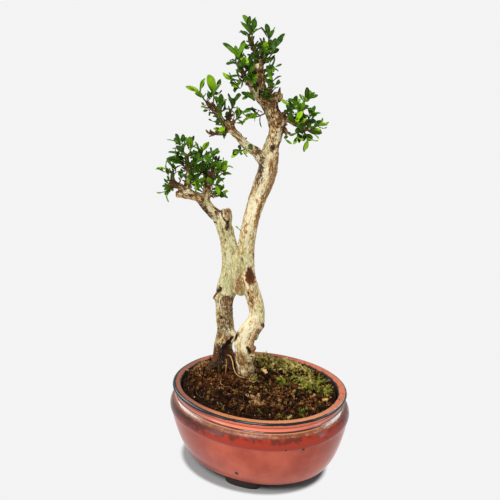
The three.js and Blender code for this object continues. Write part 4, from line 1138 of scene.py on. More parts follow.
colour = layered(
    tree, ramped(tree, shade_of_bark, BARK_RAMP),
    (times(tree, stain_and_shading["Z"], steps(tree, patch, 0.25, 0.5, 0.4)), 1, green_bark),
    (steps(tree, rusted, 0.35, 0.85, 0.0, 0.9), 1, rust_bark),
    (flecks, 0.65, BARK_FLECK),
    (torn, 1, dark_bark))
height = summed(tree, (fine_mosaic, 0.6), (mosaic, 1), (torn, -0.35))
rough = steps(tree, mosaic, 0.3, 0.7, 0.8, 0.62)
finish_surface(tree, colour, rough, height, relief=0.5, specular=0.08)
skin.transform(Matrix.Rotation(TREE_TURN, 4, "Z"))
skin.materials.clear()
skin.materials.append(bark)
skin.shade_smooth()
set_attributes(skin, {"tone": tone, "fibre": fibre, "stain_and_shading": np.stack([dark, rust, green], axis=1)})
trunk = show("trunk_grown", skin)
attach(trunk, "root")
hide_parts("trunk")

# ---------------------------------------------------------------------------------------------------
# Leafy sprays: small twigs grown from the branches, each with opposite pairs of glossy pointed leaves.
# The leaves are dark green with a paler rib, and lime green on the youngest shoots.
TWIG_RADIUS = 0.85
TWIG_TAPER = 0.1
TWIG_SAG = 0.1
TWIG_SIDES = 6
TWIG_STEPS = 9
TWIG_SHARE = 0.62
FIRST_PAIR = 0.45
PAIR_REACH = 0.5
TIP_PAIR = 0.94
TURN_JITTER = 0.6
SIDE_LEAN = 0.85
TIP_LEAN = 0.4
LEAN_SPREAD = 0.4
LEAST_LENGTH = 0.8
LENGTH_SPREAD = 0.3
ROLL_SPREAD = 0.8
LEAF_THICKNESS = 0.65
BLADE_THICKNESS = 0.28
LEAF_WIDTH_SHARE = 0.40
LEAF_WIDEST = 1.5
LEAF_FULLNESS = 0.58
LEAF_LIFT = 0.233
LEAF_DROOP = 0.333
LEAF_FOLD = 0.11
LEAF_CREASE = 0.035
CREASE_REACH = 0.15
LEAF_ALONG = np.array([0, 0.07, 0.17, 0.3, 0.45, 0.6, 0.74, 0.86, 0.95, 1])
LEAF_ACROSS = np.array([-1, -0.62, -0.2, 0, 0.2, 0.62, 1])
NUDGE = 1e-4
SEED_STEP, SEED_START = 7919, 17
DRAW_FACTOR, DRAW_RANGE = 48271, 2147483647
TWIG_HELPER = (0.31, 0.83, 0.46)
KNUCKLE = 0.22
KNUCKLE_CELLS = 0.9
SPRAY_YOUTH = 0.9
YOUTH_SHARES = (0.55, 0.45)
YOUTH_BEND = 1.6
SPRAYS = {
    # where each twig leaves the wood, its tip, leaf pairs, leaf length, seed
    "apex": [
        ((-5.6, 8.4, 283), (-6.4, 7.6, 291.6), 2, 10.6, 125),
        ((-4.6, 9, 280.4), (-4.6, 4.4, 287), 1, 9.6, 488),
        ((4.6, 12.9, 275.2), (5.6, 13, 283.4), 2, 9.6, 316), ((3.2, 12, 271), (10, 9.6, 279.4), 1, 9, 98),
        ((0, 8.6, 269), (3.2, 5, 276), 1, 9, 147), ((-11.6, 0, 269.4), (-12.8, -2, 274), 2, 11, 643),
        ((-11, 0.4, 267), (-14.6, 6, 270), 1, 7.5, 578), ((-0.8, 8.6, 272.4), (1.6, 16, 276.6), 2, 7, 195),
        ((-0.6, 7.6, 266), (6.4, 7, 267.2), 2, 8, 367), ((-1, 7, 260.8), (-4.6, 0, 260.6), 2, 7, 337),
        ((-8.4, 1.8, 260.8), (-15, -1, 261), 2, 8, 803), ((-3.6, 7, 253), (-6.6, 2, 250.6), 2, 6.5, 68),
        ((6, 8.4, 253.6), (8, 7, 258.6), 2, 7, 616), ((-0.9, 8, 267), (-5.2, 16, 267.6), 2, 8, 803),
        ((-1, 7, 262.6), (3, 16.6, 261.6), 2, 7.5, 691),
    ],
    "middle": [
        ((-32, -7.8, 248), (-36, -9, 254), 2, 9, 565),
        ((-28.6, -6.4, 244.2), (-27.8, -8, 252.6), 1, 11.5, 712),
        ((-25, -4.8, 240), (-23.6, -9, 246.6), 2, 8, 761),
        ((-18, 2.6, 241), (-16.4, 4, 245.6), 2, 8.5, 850),
        ((-15.8, -3.8, 236), (-12.6, -7, 240.6), 2, 7.5, 807),
        ((-20.6, -2.8, 234.4), (-23.6, -8.4, 232.4), 2, 6.5, 117),
        ((-24, -4.4, 238), (-26, 3, 241), 2, 7.5, 465), ((7.6, 10, 241.6), (-7.4, 3.4, 237.4), 3, 7.5, 168),
        ((-7.8, 2.8, 219.2), (-12, -1, 216.6), 2, 7.5, 316),
    ],
    "right": [
        ((23.6, 2.6, 238.4), (27.2, 0, 247), 3, 9.5, 182), ((19, 6.8, 235.4), (20.8, 5, 243), 2, 9, 189),
        ((24.8, 3.8, 231.8), (31.6, 2, 238), 2, 8, 52), ((30, 4, 229.2), (36, 3, 232), 2, 8.5, 35),
        ((27, 4, 230.6), (29.8, 0.4, 225.6), 2, 9, 874), ((21.4, 5.4, 233.9), (23, -3, 236.6), 2, 8, 882),
        ((24.4, 4.4, 232), (23.6, 0, 226), 2, 7, 252), ((22, 5.2, 233.6), (24.6, 13, 237), 2, 8, 803),
        ((28.6, 4, 230), (31.4, 12, 229.4), 2, 8, 682),
    ],
    "left": [
        ((-46, 5, 213), (-50, 5, 219.4), 3, 8.5, 362), ((-45.8, 4.4, 210.4), (-43.4, 2, 217), 2, 8.5, 524),
        ((-45.6, 4, 207.6), (-51.2, 2, 211.2), 2, 8.5, 161),
        ((-44.8, 4, 202.4), (-39.8, 1.4, 208.6), 2, 8.5, 52),
        ((-36, 13, 206.4), (-36.8, 11, 213.4), 3, 8.5, 501),
        ((-30, 5.4, 206), (-29.4, 2, 212.6), 2, 8, 471),
        ((-30, 6.4, 203), (-24.4, 3.4, 206.4), 2, 8.5, 362),
        ((-30, 8.4, 197.6), (-24, 9.6, 200), 2, 8, 523), ((-31.4, 9.8, 195), (-27.8, 3, 194.4), 2, 8, 227),
        ((-30.4, 13.6, 186), (-25.6, 11, 188), 2, 7.5, 395), ((-35, 13, 200), (-38.4, 7, 203), 2, 8, 140),
        ((-45, 4.6, 200), (-41, 0, 197.6), 2, 8, 676), ((-55, 3.4, 201.6), (-58.6, 1, 205), 1, 8, 393),
        ((-56.6, 0.8, 195), (-58.6, -2, 192), 2, 8, 3),
        ((-34.8, 13, 200.4), (-33.4, 20.6, 202.6), 2, 8, 425),
        ((-45.6, 6, 195.4), (-43.6, 13.4, 195.8), 2, 8, 616),
    ],
}
TIP_CLEARANCE = 0.01
CROWN_TONES = {"left": (0.03, 0.92), "middle": (0.05, 1.0), "apex": (0.03, 0.6), "right": (0.04, 1.0)}
LEAF_DARK = (0.0035, 0.015, 0.001)
LEAF_MID = (0.047, 0.148, 0.005)
LEAF_LIME = (0.34, 0.58, 0.006)
LEAF_UNDER = (0.09, 0.20, 0.04)
TWIG_BROWN = (0.075, 0.040, 0.022)
TWIG_GREEN = (0.13, 0.19, 0.045)


def generator(seed):
    """The part's own small generator, so that a spray's leaves stand where its solid has them."""
    state = seed * SEED_STEP + SEED_START
    while True:
        state = (state * DRAW_FACTOR) % DRAW_RANGE
        yield state / DRAW_RANGE


def turned_about(vector, axis, angle):
    """A vector turned about an axis."""
    return Matrix.Rotation(angle, 3, axis) @ vector


def two_skins(upper, under):
    """Quads of an upper and an under skin, each a grid of vertex numbers."""
    quads = []
    for i in range(len(upper) - 1):
        for j in range(len(upper[0]) - 1):
            quads.append((upper[i, j], upper[i + 1, j], upper[i + 1, j + 1], upper[i, j + 1]))
            quads.append((under[i, j], under[i, j + 1], under[i + 1, j + 1], under[i + 1, j]))
    return quads


def blade_grid():
    """Faces of one leaf: an upper and an under skin that share their edge."""
    upper = np.arange(len(LEAF_ALONG) * len(LEAF_ACROSS)).reshape(len(LEAF_ALONG), -1)
    under = upper.copy()
    inner = upper[1:-1, 1:-1]
    under[1:-1, 1:-1] = np.arange(inner.size).reshape(inner.shape) + upper.size
    return np.array(two_skins(upper, under))


BLADE_FACES = blade_grid()


class Crown:
    """The leaves and twigs of one crown, gathered before they are made into pieces."""

    def __init__(self):
        self.leaf_places, self.leaf_faces, self.blades, self.unders = [], [], [], []
        self.twig_places, self.twig_faces, self.youths = [], [], []
        self.leaf_start = self.twig_start = 0

    def leaf(self, base, heading, up, length, width, tone, droop=1.0, wave=0.0):
        """One blade: it widens past the middle, folds along its rib and arches down to its tip."""
        along, across = np.meshgrid(LEAF_ALONG, LEAF_ACROSS, indexing="ij")
        outline = np.maximum(np.sin(math.pi * along ** LEAF_WIDEST), 0) ** LEAF_FULLNESS
        outline = np.maximum(outline, 0.12 * (1 - along) ** 2 + 0.012)
        y = across * outline * width / 2
        arch = (LEAF_LIFT * along - LEAF_DROOP * along ** 2 * droop) * length
        fold = LEAF_FOLD * width * np.abs(across) ** 1.4 * outline
        ripple = wave * width * np.sin(along * 9 + np.sign(across) * 1.3) * np.abs(across) ** 2 * outline
        crease = -LEAF_CREASE * width * np.exp(-(across / CREASE_REACH) ** 2)
        top = np.stack([along * length, y, arch + fold + ripple + crease], axis=-1)
        low = top[1:-1, 1:-1] - (0, 0, BLADE_THICKNESS)
        local = np.concatenate([top.reshape(-1, 3), low.reshape(-1, 3)])
        basis = np.array([heading, up.cross(heading), up])
        self.leaf_places.append(local @ basis + np.array(base))
        self.leaf_faces.append(BLADE_FACES + self.leaf_start)
        self.leaf_start += len(local)
        shares = np.stack([along, across, np.full(along.shape, tone)], axis=-1)
        self.blades.append(np.concatenate([shares.reshape(-1, 3), shares[1:-1, 1:-1].reshape(-1, 3)]))
        self.unders.append(np.concatenate([np.zeros(along.size), np.ones(low.size // 3)]))

    def twig(self, points, first, last, youth=0.0):
        """A thin round twig through its points, tapered, with a knuckle here and there."""
        line = curve_at(points, np.linspace(0, 1, TWIG_STEPS))
        heading = np.gradient(line, axis=0)
        heading /= np.linalg.norm(heading, axis=1)[:, None]
        side = np.cross(heading, TWIG_HELPER)
        side /= np.linalg.norm(side, axis=1)[:, None]
        other = np.cross(heading, side)
        radius = np.linspace(first, last, TWIG_STEPS) * (1 + KNUCKLE * noise_at(line * KNUCKLE_CELLS))
        turn = round_angles(TWIG_SIDES)[None, :, None]
        ring = np.cos(turn) * side[:, None] + np.sin(turn) * other[:, None]
        places = (line[:, None] + ring * radius[:, None, None]).reshape(-1, 3)
        self.twig_places.append(places)
        self.twig_faces += capped(TWIG_STEPS, TWIG_SIDES, self.twig_start)
        self.youths.append(np.repeat(np.linspace(0, youth, TWIG_STEPS), TWIG_SIDES))
        self.twig_start += len(places)

    def spray(self, root, tip, pairs, leaf_length, seed, tones):
        """A spray as its solid has it: where the pairs sit, how they lean and how long they are."""
        root, tip = Vector(root), Vector(tip)
        middle = (root + tip) / 2 - Vector((0, 0, TWIG_SAG * (tip - root).length))
        points = [root, middle, tip]
        self.twig(points, TWIG_RADIUS * TWIG_SHARE, (TWIG_RADIUS - 2 * TWIG_TAPER) * TWIG_SHARE, SPRAY_YOUTH)
        draw = generator(seed)
        first_turn = next(draw) * math.pi
        for pair in range(pairs):
            last = pair == pairs - 1
            share = TIP_PAIR if last else FIRST_PAIR + PAIR_REACH * pair / pairs
            before, at, after = curve_at(points, [share - NUDGE, share, share + NUDGE])
            axis = Vector(after - before).normalized()
            side = Vector((axis.z, 0, -axis.x)).normalized()
            for half in (0, 1):
                turn = first_turn + pair * math.pi / 2 + half * math.pi + (next(draw) - 0.5) * TURN_JITTER
                lean = (TIP_LEAN if last else SIDE_LEAN) + next(draw) * LEAN_SPREAD
                length = leaf_length * (LEAST_LENGTH + next(draw) * LENGTH_SPREAD)
                roll = (next(draw) - 0.5) * ROLL_SPREAD
                heading, up = leaning(axis, turned_about(side, axis, turn), lean)
                up = turned_about(up, heading, roll)
                base = Vector(at) + up * LEAF_THICKNESS / 2
                youth = (pair + 1) / pairs * YOUTH_SHARES[0] + shade.random() * YOUTH_SHARES[1]
                tone = tones[0] + (tones[1] - tones[0]) * youth ** YOUTH_BEND
                self.leaf(base, heading, up, length, length * LEAF_WIDTH_SHARE, tone, wave=0.05)

    def pieces(self, crown, nodes):
        """The crown's two pieces: its foliage, which stands for the spray solids, and its twigs."""
        leaves = np.concatenate(self.leaf_places)
        leaves[:, 2] = np.minimum(leaves[:, 2], cad_box[1][2] / MM - TIP_CLEARANCE)
        make_piece(f"foliage_{crown}", leaves, np.concatenate(self.leaf_faces).tolist(), leaf_skin, "leaf",
                   nodes, turned=True, blade=np.concatenate(self.blades), under=np.concatenate(self.unders))
        make_piece(f"twigs_{crown}", np.concatenate(self.twig_places), self.twig_faces, twig_bark, "bark",
                   turned=True, youth=np.concatenate(self.youths))


def leaning(axis, out, lean):
    """Heading and upper side of a leaf that leans out from its twig's axis."""
    cos, sin = math.cos(lean), math.sin(lean)
    return axis * cos + out * sin, axis * sin - out * cos


leaf_skin = new_material("glossy_leaf")
tree = leaf_skin.node_tree
blade = put(tree, "ShaderNodeSeparateXYZ", {"Vector": read(tree, "blade", "Vector")}).outputs
along, across, tone = blade["X"], maths("ABSOLUTE", tree, blade["Y"]), blade["Z"]
under = read(tree, "under")
blotch = grain(tree, scale=500, detail=3)
tone = plus(tree, tone, swing(tree, blotch, 0.5), clamp=True)
rib = times(tree, steps(tree, across, 0.16, 0.02), steps(tree, along, 1.0, 0.7))
vein_phase = summed(tree, (along, 38.0), (across, -9.0))
veins = steps(tree, maths("SINE", tree, vein_phase), 0.75, 1.0)
veins = times(tree, veins, steps(tree, across, 0.95, 0.5))
colour = layered(
    tree, ramped(tree, tone, [(0.0, LEAF_DARK), (0.5, LEAF_MID), (1.0, LEAF_LIME)]),
    (rib, 0.24, LEAF_LIME),
    (veins, 0.10, LEAF_LIME),
    # painted highlight: the leaf's edges turn lime
    (steps(tree, across, 0.8, 1.0, 0.0, 0.25), 1, LEAF_LIME),
    (under, 0.6, LEAF_UNDER))
gloss = summed(tree, (steps(tree, blotch, 0.3, 0.7, 0.24, 0.38), 1), (under, 0.25))
height = summed(tree, (blotch, 0.35), (veins, -0.5))
finish_surface(tree, colour, gloss, height, relief=0.12, specular=0.12)

twig_bark = new_material("young_bark")
tree = twig_bark.node_tree
mottle = grain(tree, scale=700, detail=4, roughness=0.6)
colour = layered(
    tree, TWIG_BROWN,
    (steps(tree, mottle, 0.4, 0.65), 1, BARK_BROWN),
    (speckle(tree, scale=1200, cover=0.35, softness=0.08), 0.7, BARK_BLACK),
    (steps(tree, read(tree, "youth"), 0.45, 0.9), 1, TWIG_GREEN))
finish_surface(tree, colour, roughness=0.75, height=mottle, relief=0.3, specular=0.1)

shade = random.Random(11)
crowns = {crown: Crown() for crown in SPRAYS}
for crown, grown in crowns.items():
    for root, tip, pairs, leaf_length, seed in SPRAYS[crown]:
        grown.spray(root, tip, pairs, leaf_length, seed, CROWN_TONES[crown])

# Single leaves that show clear of the crowns: each springs from a fine twig to the nearest wood
PLACED_LEAVES = {
    # where the leaf springs and its tip in the frame, their depths, width in px, tone from dark 0 to lime 1
    "apex": [
        (247.5, 29, 250, 15.8, 7, 7, 4.6, 0.12), (253.5, 31, 254.5, 18.5, 3, 4, 5.6, 0.2),
        (247.5, 29, 240.5, 21.5, 7, 9, 2.4, 0.55), (247, 36, 240, 30.5, 8, 6, 3.2, 0.6),
        (248, 35, 250.5, 45, 9, 7, 3.2, 0.35), (269, 37, 266, 23.5, 12, 12, 5.4, 0.15),
        (267, 37, 260.5, 27, 12, 9, 2.6, 0.2), (270.5, 38, 275, 27, 12, 16, 2, 0.2),
        (276, 42, 285, 33.5, 11, 8, 3.8, 0.15), (268.5, 54, 264, 40.5, 12, 8, 6.2, 0.95),
        (269, 53, 277.5, 44, 12, 10, 2.6, 0.7), (270, 50, 276, 38, 12, 15, 3.4, 0.2),
        (263, 49, 263.5, 37, 13, 15, 3.2, 0.15), (262, 52, 258, 43, 11, 9, 4.2, 0.25),
        (266, 46, 272, 40, 12, 7, 4.4, 0.15), (241, 57, 244.5, 40, -1, 0, 5.6, 0.15),
        (239.5, 58, 222.5, 43, -1, -3, 5.4, 0.2), (239, 55, 235, 45.5, 1, 6, 3.2, 0.5),
        (239.5, 57, 248.5, 63, -1, -6, 5.8, 0.85), (243, 46, 249, 49, 8, 5, 4.2, 0.3),
        (236, 63, 231, 62, 4, 2, 2.6, 0.3), (251, 53, 256, 60, 8, 3, 5.2, 0.2),
        (252, 62, 249.5, 74, 8, 2, 5, 0.25), (262, 60, 253, 62, 8, 3, 3, 0.15),
        (270, 63, 275, 55, 9, 7, 2.6, 0.15), (275, 67, 282, 64, 8, 8, 2, 0.4),
        (269, 67, 274, 72, 6, 1, 4.8, 0.55), (268, 71, 271, 80, 6, 2, 3.6, 0.75),
        (266, 66, 270.5, 74, 5, 0, 5.2, 0.3), (252, 77, 245, 80, 3, -4, 5.6, 0.35),
        (251, 78, 258, 77, 3, -4, 5.2, 0.6), (231, 80, 222.5, 72.5, -3, -4, 1.8, 0.9),
        (231, 80, 229, 72, -3, 0, 1.8, 0.5), (237, 86, 230, 82.5, -3, -5, 4.2, 0.2),
        (238, 86, 239, 80, -3, -8, 4.4, 0.55), (239, 88, 231, 85.5, -3, -6, 3.4, 0.75),
        (239, 88, 233, 90.5, -3, -1, 3, 0.1), (241, 88, 242, 81, -2, -6, 3.4, 0.45),
        (248, 92, 252, 99, 4, -1, 6, 0.3), (247, 92, 246, 98, 4, 0, 4, 0.15),
        (269, 84, 275, 84.5, 8, 4, 4, 0.45), (269, 85, 272, 88.5, 8, 3, 3, 0.2),
        (262, 91, 268, 92, 8, 4, 3.4, 0.35), (268, 84, 265, 77, 8, 4, 3, 0.5),
    ],
    "middle": [
        (239, 229.2, 235.4, 226.4, 9, 7, 2.8, 1), (215, 91, 208, 74.5, -8, -10, 8.4, 0.75),
        (216, 91, 220.5, 79, -8, -7, 4.2, 0.1), (200, 90, 203.5, 80, -9, -8, 4.2, 0.15),
        (197, 92, 185.5, 86.5, -9, -12, 3.6, 0.72), (199, 94, 194.5, 90, -9, -13, 3.4, 0.9),
        (209, 99, 208.5, 91, -4, -9, 4.4, 0.15), (211, 98, 212, 90.5, -4, -6, 4, 0.08),
        (204, 105, 201.5, 102.5, -7, -10, 2.6, 0.6), (205, 107, 201, 107, -7, -11, 2.8, 0.75),
        (208, 110, 203, 111, -6, -10, 2.8, 0.35), (210, 112, 209, 116, -6, -8, 2, 0.25),
        (221, 107, 221, 93.5, -7, -9, 5.6, 0.25), (221, 108, 217.5, 97, -7, -11, 3.6, 0.5),
        (222, 106, 225, 101, -7, -4, 3.2, 0.15), (219, 94, 222, 90, -8, -9, 1.6, 0.35),
        (222, 112, 226, 107, -6, -3, 1.6, 0.12), (220, 113, 221.5, 107, -6, -12, 5, 0.15),
        (232, 100, 228, 93, 3, 3, 2.2, 0.15), (234, 101, 240, 93, 3, 2, 3.4, 0.35),
        (233.5, 107, 232.5, 98, 3, -1, 5.4, 0.12), (237, 117, 238, 108, -5, -9, 5.4, 0.35),
        (239, 117, 241.5, 110, -5, -3, 4.4, 0.1), (219, 120, 214.5, 115.5, -6, -8, 2.6, 0.15),
        (218, 122, 214, 121.5, -6, -9, 2, 0.5), (218, 123, 216, 125, -6, -9, 2.4, 0.15),
        (212, 121, 208.5, 119, -7, -8, 1.8, 0.08), (220, 129, 216, 128, -8, -11, 3.6, 0.12),
        (225, 127, 219.5, 131.5, -8, -13, 5.6, 0.85), (224, 129, 222, 133, -8, -11, 4, 0.8),
        (258, 110, 245, 110.5, 9, 2, 3.6, 0.12), (258, 112, 250.5, 118, 8, 2, 4.6, 0.65),
        (257, 113, 246, 120, 8, 0, 3.4, 0.7), (250, 113, 248, 117, 3, 2, 2.2, 0.1),
        (236, 123, 245, 121.5, -3, -1, 2, 0.6), (244, 139.5, 247, 138, 4, 2, 2, 0.12),
        (253, 149, 248, 145.5, 2, -4, 6.2, 0.3), (240, 150, 240, 145, 1, -2, 4.4, 0.12),
        (238, 151, 233, 155, 1, -3, 5.4, 0.1), (242, 150, 247, 154, 1, -4, 3.8, 0.75),
        (240, 151, 241, 155, 1, -4, 4, 0.5),
    ],
    "right": [
        (306, 100, 307, 87, 0, -1, 5.6, 0.15), (308, 98, 315, 92.5, 0, -3, 3.4, 0.25),
        (308, 99, 318, 95, 0, 2, 3.6, 0.35), (305, 102, 310, 98.5, 0, 4, 1.8, 0.6),
        (303, 101, 299.5, 94, 2, 4, 2, 0.45), (293, 104, 297, 95.5, 5, 3, 4.6, 0.2),
        (293, 107, 288, 100.5, 5, 2, 3.2, 0.5), (290, 106, 281, 99, 5, 7, 2.8, 0.75),
        (295, 107, 289, 102, 5, 8, 2.2, 0.6), (301, 113, 303, 101.5, 0, -4, 6, 0.65),
        (300, 112, 297, 104.5, 1, -2, 4.6, 0.6), (301, 113, 308, 105, 1, 4, 2.4, 0.35),
        (301, 112, 305, 108, 1, 6, 3.6, 0.3), (288, 114, 284, 110, 7, 4, 4, 0.35),
        (290, 116, 294, 119, 7, 2, 4.6, 0.4), (309, 113, 311, 107.5, 2, -1, 4.4, 0.15),
        (311, 113, 315, 105.5, 2, 0, 4, 0.5), (311, 115, 317, 115, 2, -2, 3.8, 0.3),
        (297, 121, 303, 120.5, 0, -6, 6, 0.15), (300, 123, 306, 119, -2, -6, 4, 0.75),
        (300, 124, 297, 120.5, -1, -5, 3.6, 0.8), (304, 118, 301, 113, 1, -3, 5, 0.1),
        (310, 121, 306, 115, 3, -1, 4.2, 0.25), (310, 122, 314, 117, 3, -1, 4.4, 0.3),
        (311, 124, 308, 128, 3, -3, 4.6, 0.2), (315, 124, 321, 120.5, 2, -2, 4, 0.2),
        (318, 126, 329, 122, 2, 2, 2, 0.9), (313, 129, 320, 130, 2, -2, 3, 0.85),
        (311, 128, 316, 127, 3, -3, 4.2, 0.4), (315, 123.5, 319, 123, 3, 5, 2.4, 0.1),
        (324, 128.5, 327, 127.5, 2, 2, 1.4, 0.5), (312, 133, 322, 133, 3, 1, 3.4, 0.3),
        (314, 134, 319, 139, 3, 1, 1.8, 0.85), (306, 134, 313, 138, 3, -1, 4.4, 0.2),
        (307, 140, 304, 152, 2, 0, 3.6, 0.4), (305, 133, 303, 141, 3, -2, 4.4, 0.15),
        (302, 135, 294, 141, 2, -2, 3.4, 0.06), (301, 136, 299, 143, 3, 0, 3.4, 0.06),
        (296, 131, 303, 134, 3, -3, 4.4, 0.08), (285, 139, 292, 144, 8, 6, 1.8, 0.6),
        (284, 138, 288, 136, 8, 4, 3.4, 0.3), (299, 127, 296, 133, 3, -3, 4.2, 0.12),
    ],
    "left": [
        (179, 143, 175.5, 133.5, 5, 3, 4.6, 0.35), (182, 143, 183, 134, 5, 2, 5, 0.45),
        (184, 144, 186.5, 137, 5, 7, 2.6, 0.2), (188, 147.5, 188.5, 137, 4, -1, 5, 0.65),
        (188, 147, 194, 135.5, 4, 4, 3.4, 0.15), (178, 142.5, 167, 139.5, 5, 4, 1.8, 0.6),
        (179, 142, 175, 141, 5, 0, 2.4, 0.85), (180, 144, 175, 144, 5, 7, 1.8, 0.08),
        (188, 148, 193, 146, 4, 1, 1.8, 0.12), (183, 147, 181, 151, 5, 2, 3.2, 0.15),
        (182, 155, 168, 152, 4, 3, 3, 0.3), (180, 154, 176, 151.5, 4, 1, 2.2, 0.15),
        (178, 161, 167.5, 158, 3, 2, 2.4, 0.2), (179, 163, 168.5, 159.5, 3, 0, 3.4, 0.45),
        (181, 162, 175, 157, 3, -1, 3.8, 0.25), (184, 160, 178, 156.5, 4, -1, 5, 0.06),
        (184, 163, 178, 163, 4, -1, 4.4, 0.1), (176, 169, 170.5, 164, 2, 0, 4.2, 0.1),
        (190, 153, 196, 152, 4, 0, 3.2, 0.3), (190, 156, 195, 157.5, 4, 0, 4, 0.25),
        (199, 156, 193, 149.5, 8, 5, 2.8, 0.3), (200, 157, 195, 141.5, 10, 9, 1.6, 0.55),
        (201, 158, 194, 156, 8, 3, 4, 0.3), (203, 151, 209, 141.5, 11, 10, 3.6, 0.6),
        (203, 152, 200, 146, 11, 9, 2.4, 0.65), (202, 154, 200, 150, 11, 7, 3.6, 0.25),
        (205, 155, 207, 151, 11, 7, 3.4, 0.2), (211, 154, 210, 147.5, 5, 1, 4.6, 0.5),
        (212, 154, 216, 150, 5, 1, 3.8, 0.65), (214, 154, 220, 151, 5, 4, 3.8, 0.9),
        (213, 159, 213, 153.5, 5, -1, 5, 0.06), (215, 161, 217, 156, 5, 2, 4, 0.15),
        (218, 162, 219.5, 155.5, 5, 4, 2, 0.15), (193, 163, 196, 157, 3, 0, 4.4, 0.06),
        (192, 166, 196.5, 163, 3, -2, 4.4, 0.1), (198, 167, 202, 163, 7, 3, 4.2, 0.25),
        (200, 172, 194, 169.5, 7, 2, 4.4, 0.5), (200, 175, 195, 171.5, 8, 3, 3, 0.6),
        (199, 169, 195, 165.5, 7, 2, 4, 0.2), (221, 168, 227.5, 161, 3, -1, 6, 0.55),
        (219, 168, 221, 161.5, 3, -3, 4.6, 0.6), (220, 169, 228, 166.5, 3, -2, 5, 0.7),
        (218, 171, 219, 164, 4, -2, 4.4, 0.5), (215, 168, 212, 162.5, 5, 0, 4.2, 0.5),
        (214, 170, 208, 164, 6, 1, 4.6, 0.2), (210, 163, 206, 158, 9, 4, 4.4, 0.2),
        (221, 172, 226, 169, 5, 3, 2.8, 0.15), (222, 173.5, 226, 175, 5, 4, 3, 0.2),
        (226, 174, 232, 174, 5, 5, 1.6, 0.65), (217, 183, 225, 178, 4, 3, 2.6, 0.35),
        (216, 184, 220, 179.5, 4, 0, 4, 0.45), (214, 181, 215, 175.5, 6, 1, 3.8, 0.3),
        (216, 186, 219, 190, 4, 0, 3.4, 0.6), (219, 190, 224.5, 187, 8, 6, 3.6, 0.2),
        (221, 191, 222, 198, 8, 5, 4, 0.08), (222, 192, 228.5, 191.5, 8, 6, 3.4, 0.8),
        (219, 196, 224, 197, 8, 5, 3, 0.4), (216, 197, 220, 195, 9, 4, 3.6, 0.06),
        (205, 183, 203, 177, 8, 3, 4.2, 0.4), (206, 184, 202, 181, 8, 3, 3.4, 0.3),
        (206, 178, 208.5, 181.5, 8, 3, 3.4, 0.45), (198, 180, 196, 174.5, 3, -2, 4.4, 0.12),
        (194, 182, 198, 182, 3, -2, 4.4, 0.25), (193, 183, 198, 186, 3, -1, 2.8, 0.55),
        (191, 184, 195, 183.5, 3, -3, 2.8, 0.85), (187, 180, 189, 184, 4, -1, 3, 0.6),
        (199, 186, 204, 184.5, 6, 2, 2.4, 0.6), (198, 183, 201, 182, 6, 3, 1.8, 0.5),
        (182, 171, 178.5, 175.5, 4, 1, 3.8, 0.35), (183, 174, 180.5, 168.5, 4, 1, 2.6, 0.2),
        (180, 180, 178.5, 177.5, 4, 3, 1.6, 0.1), (164, 172, 156.5, 168, -2, -4, 2.6, 0.4),
        (163, 171, 161, 168, -2, -6, 3, 0.35), (168, 174, 166, 167.5, -2, -5, 3.6, 0.15),
        (168, 176, 170, 168, -2, 0, 3, 0.3), (169, 184, 164, 178.5, 0, -2, 2.2, 0.15),
        (170, 187, 162, 186, 0, -3, 3.6, 0.35), (170, 188, 167.5, 193, 0, -3, 4.6, 0.4),
        (171, 187, 164, 190, 0, -5, 3.6, 0.2), (172, 188, 173, 191, 0, -3, 3, 0.15),
        (169, 180, 167, 176, 0, -4, 3, 0.55),
    ],
}
LEAST_BREADTH = 0.3
FACING = Vector((0.1, -0.85, 0.5))
FACING_PLAY = 0.3
ROLL_PLAY = 0.3
UPHILL_COST = 0.6
LEAST_TWIG = 0.4
CROWN_STEMS = {"left": STEMS[4:10], "middle": STEMS[10:13], "apex": STEMS[14:18], "right": STEMS[19:23]}
DEAD_STEMS = {"left": [], "middle": [STEMS[13]] * 2, "apex": STEMS[18:19], "right": []}
SHOOT_GAP = 1.5
STUB_SHARE = 0.65
STUB_LENGTH = (1.4, 4.0)
SHOOT_LENGTH = (1.5, 4.5)
SHOOT_LEAF_LENGTH = (4.2, 7.2)
SHOOT_LEAF_TONE = 0.4
SHOOT_ROUNDS = {"left": 1, "middle": 1, "apex": 2, "right": 1}
STOUT_RADIUS = 3
BARE_SHARE = (0.08, 0.42)
BUD_JOINT = (240.5, 230, 10)


def any_way(draw):
    """A seeded direction, any way alike."""
    turn, height = draw.uniform(0, 2 * math.pi), draw.uniform(-1, 1)
    flat = math.sqrt(1 - height * height)
    return Vector((flat * math.cos(turn), flat * math.sin(turn), height))


def square_to(vector, heading):
    """The part of a vector that is square to a heading, at unit length."""
    return (vector - heading * vector.dot(heading)).normalized()


def from_frame(u, v, depth):
    """The place at a depth in the tree's frame that shows at one spot of the camera's square frame."""
    middle = FRAME_SIZE / 2
    ray = EYE_AXES @ Vector(((u - middle) / FRAME_FOCUS, (middle - v) / FRAME_FOCUS, -1))
    return EYE + ray * ((depth - EYE.y) / ray.y)


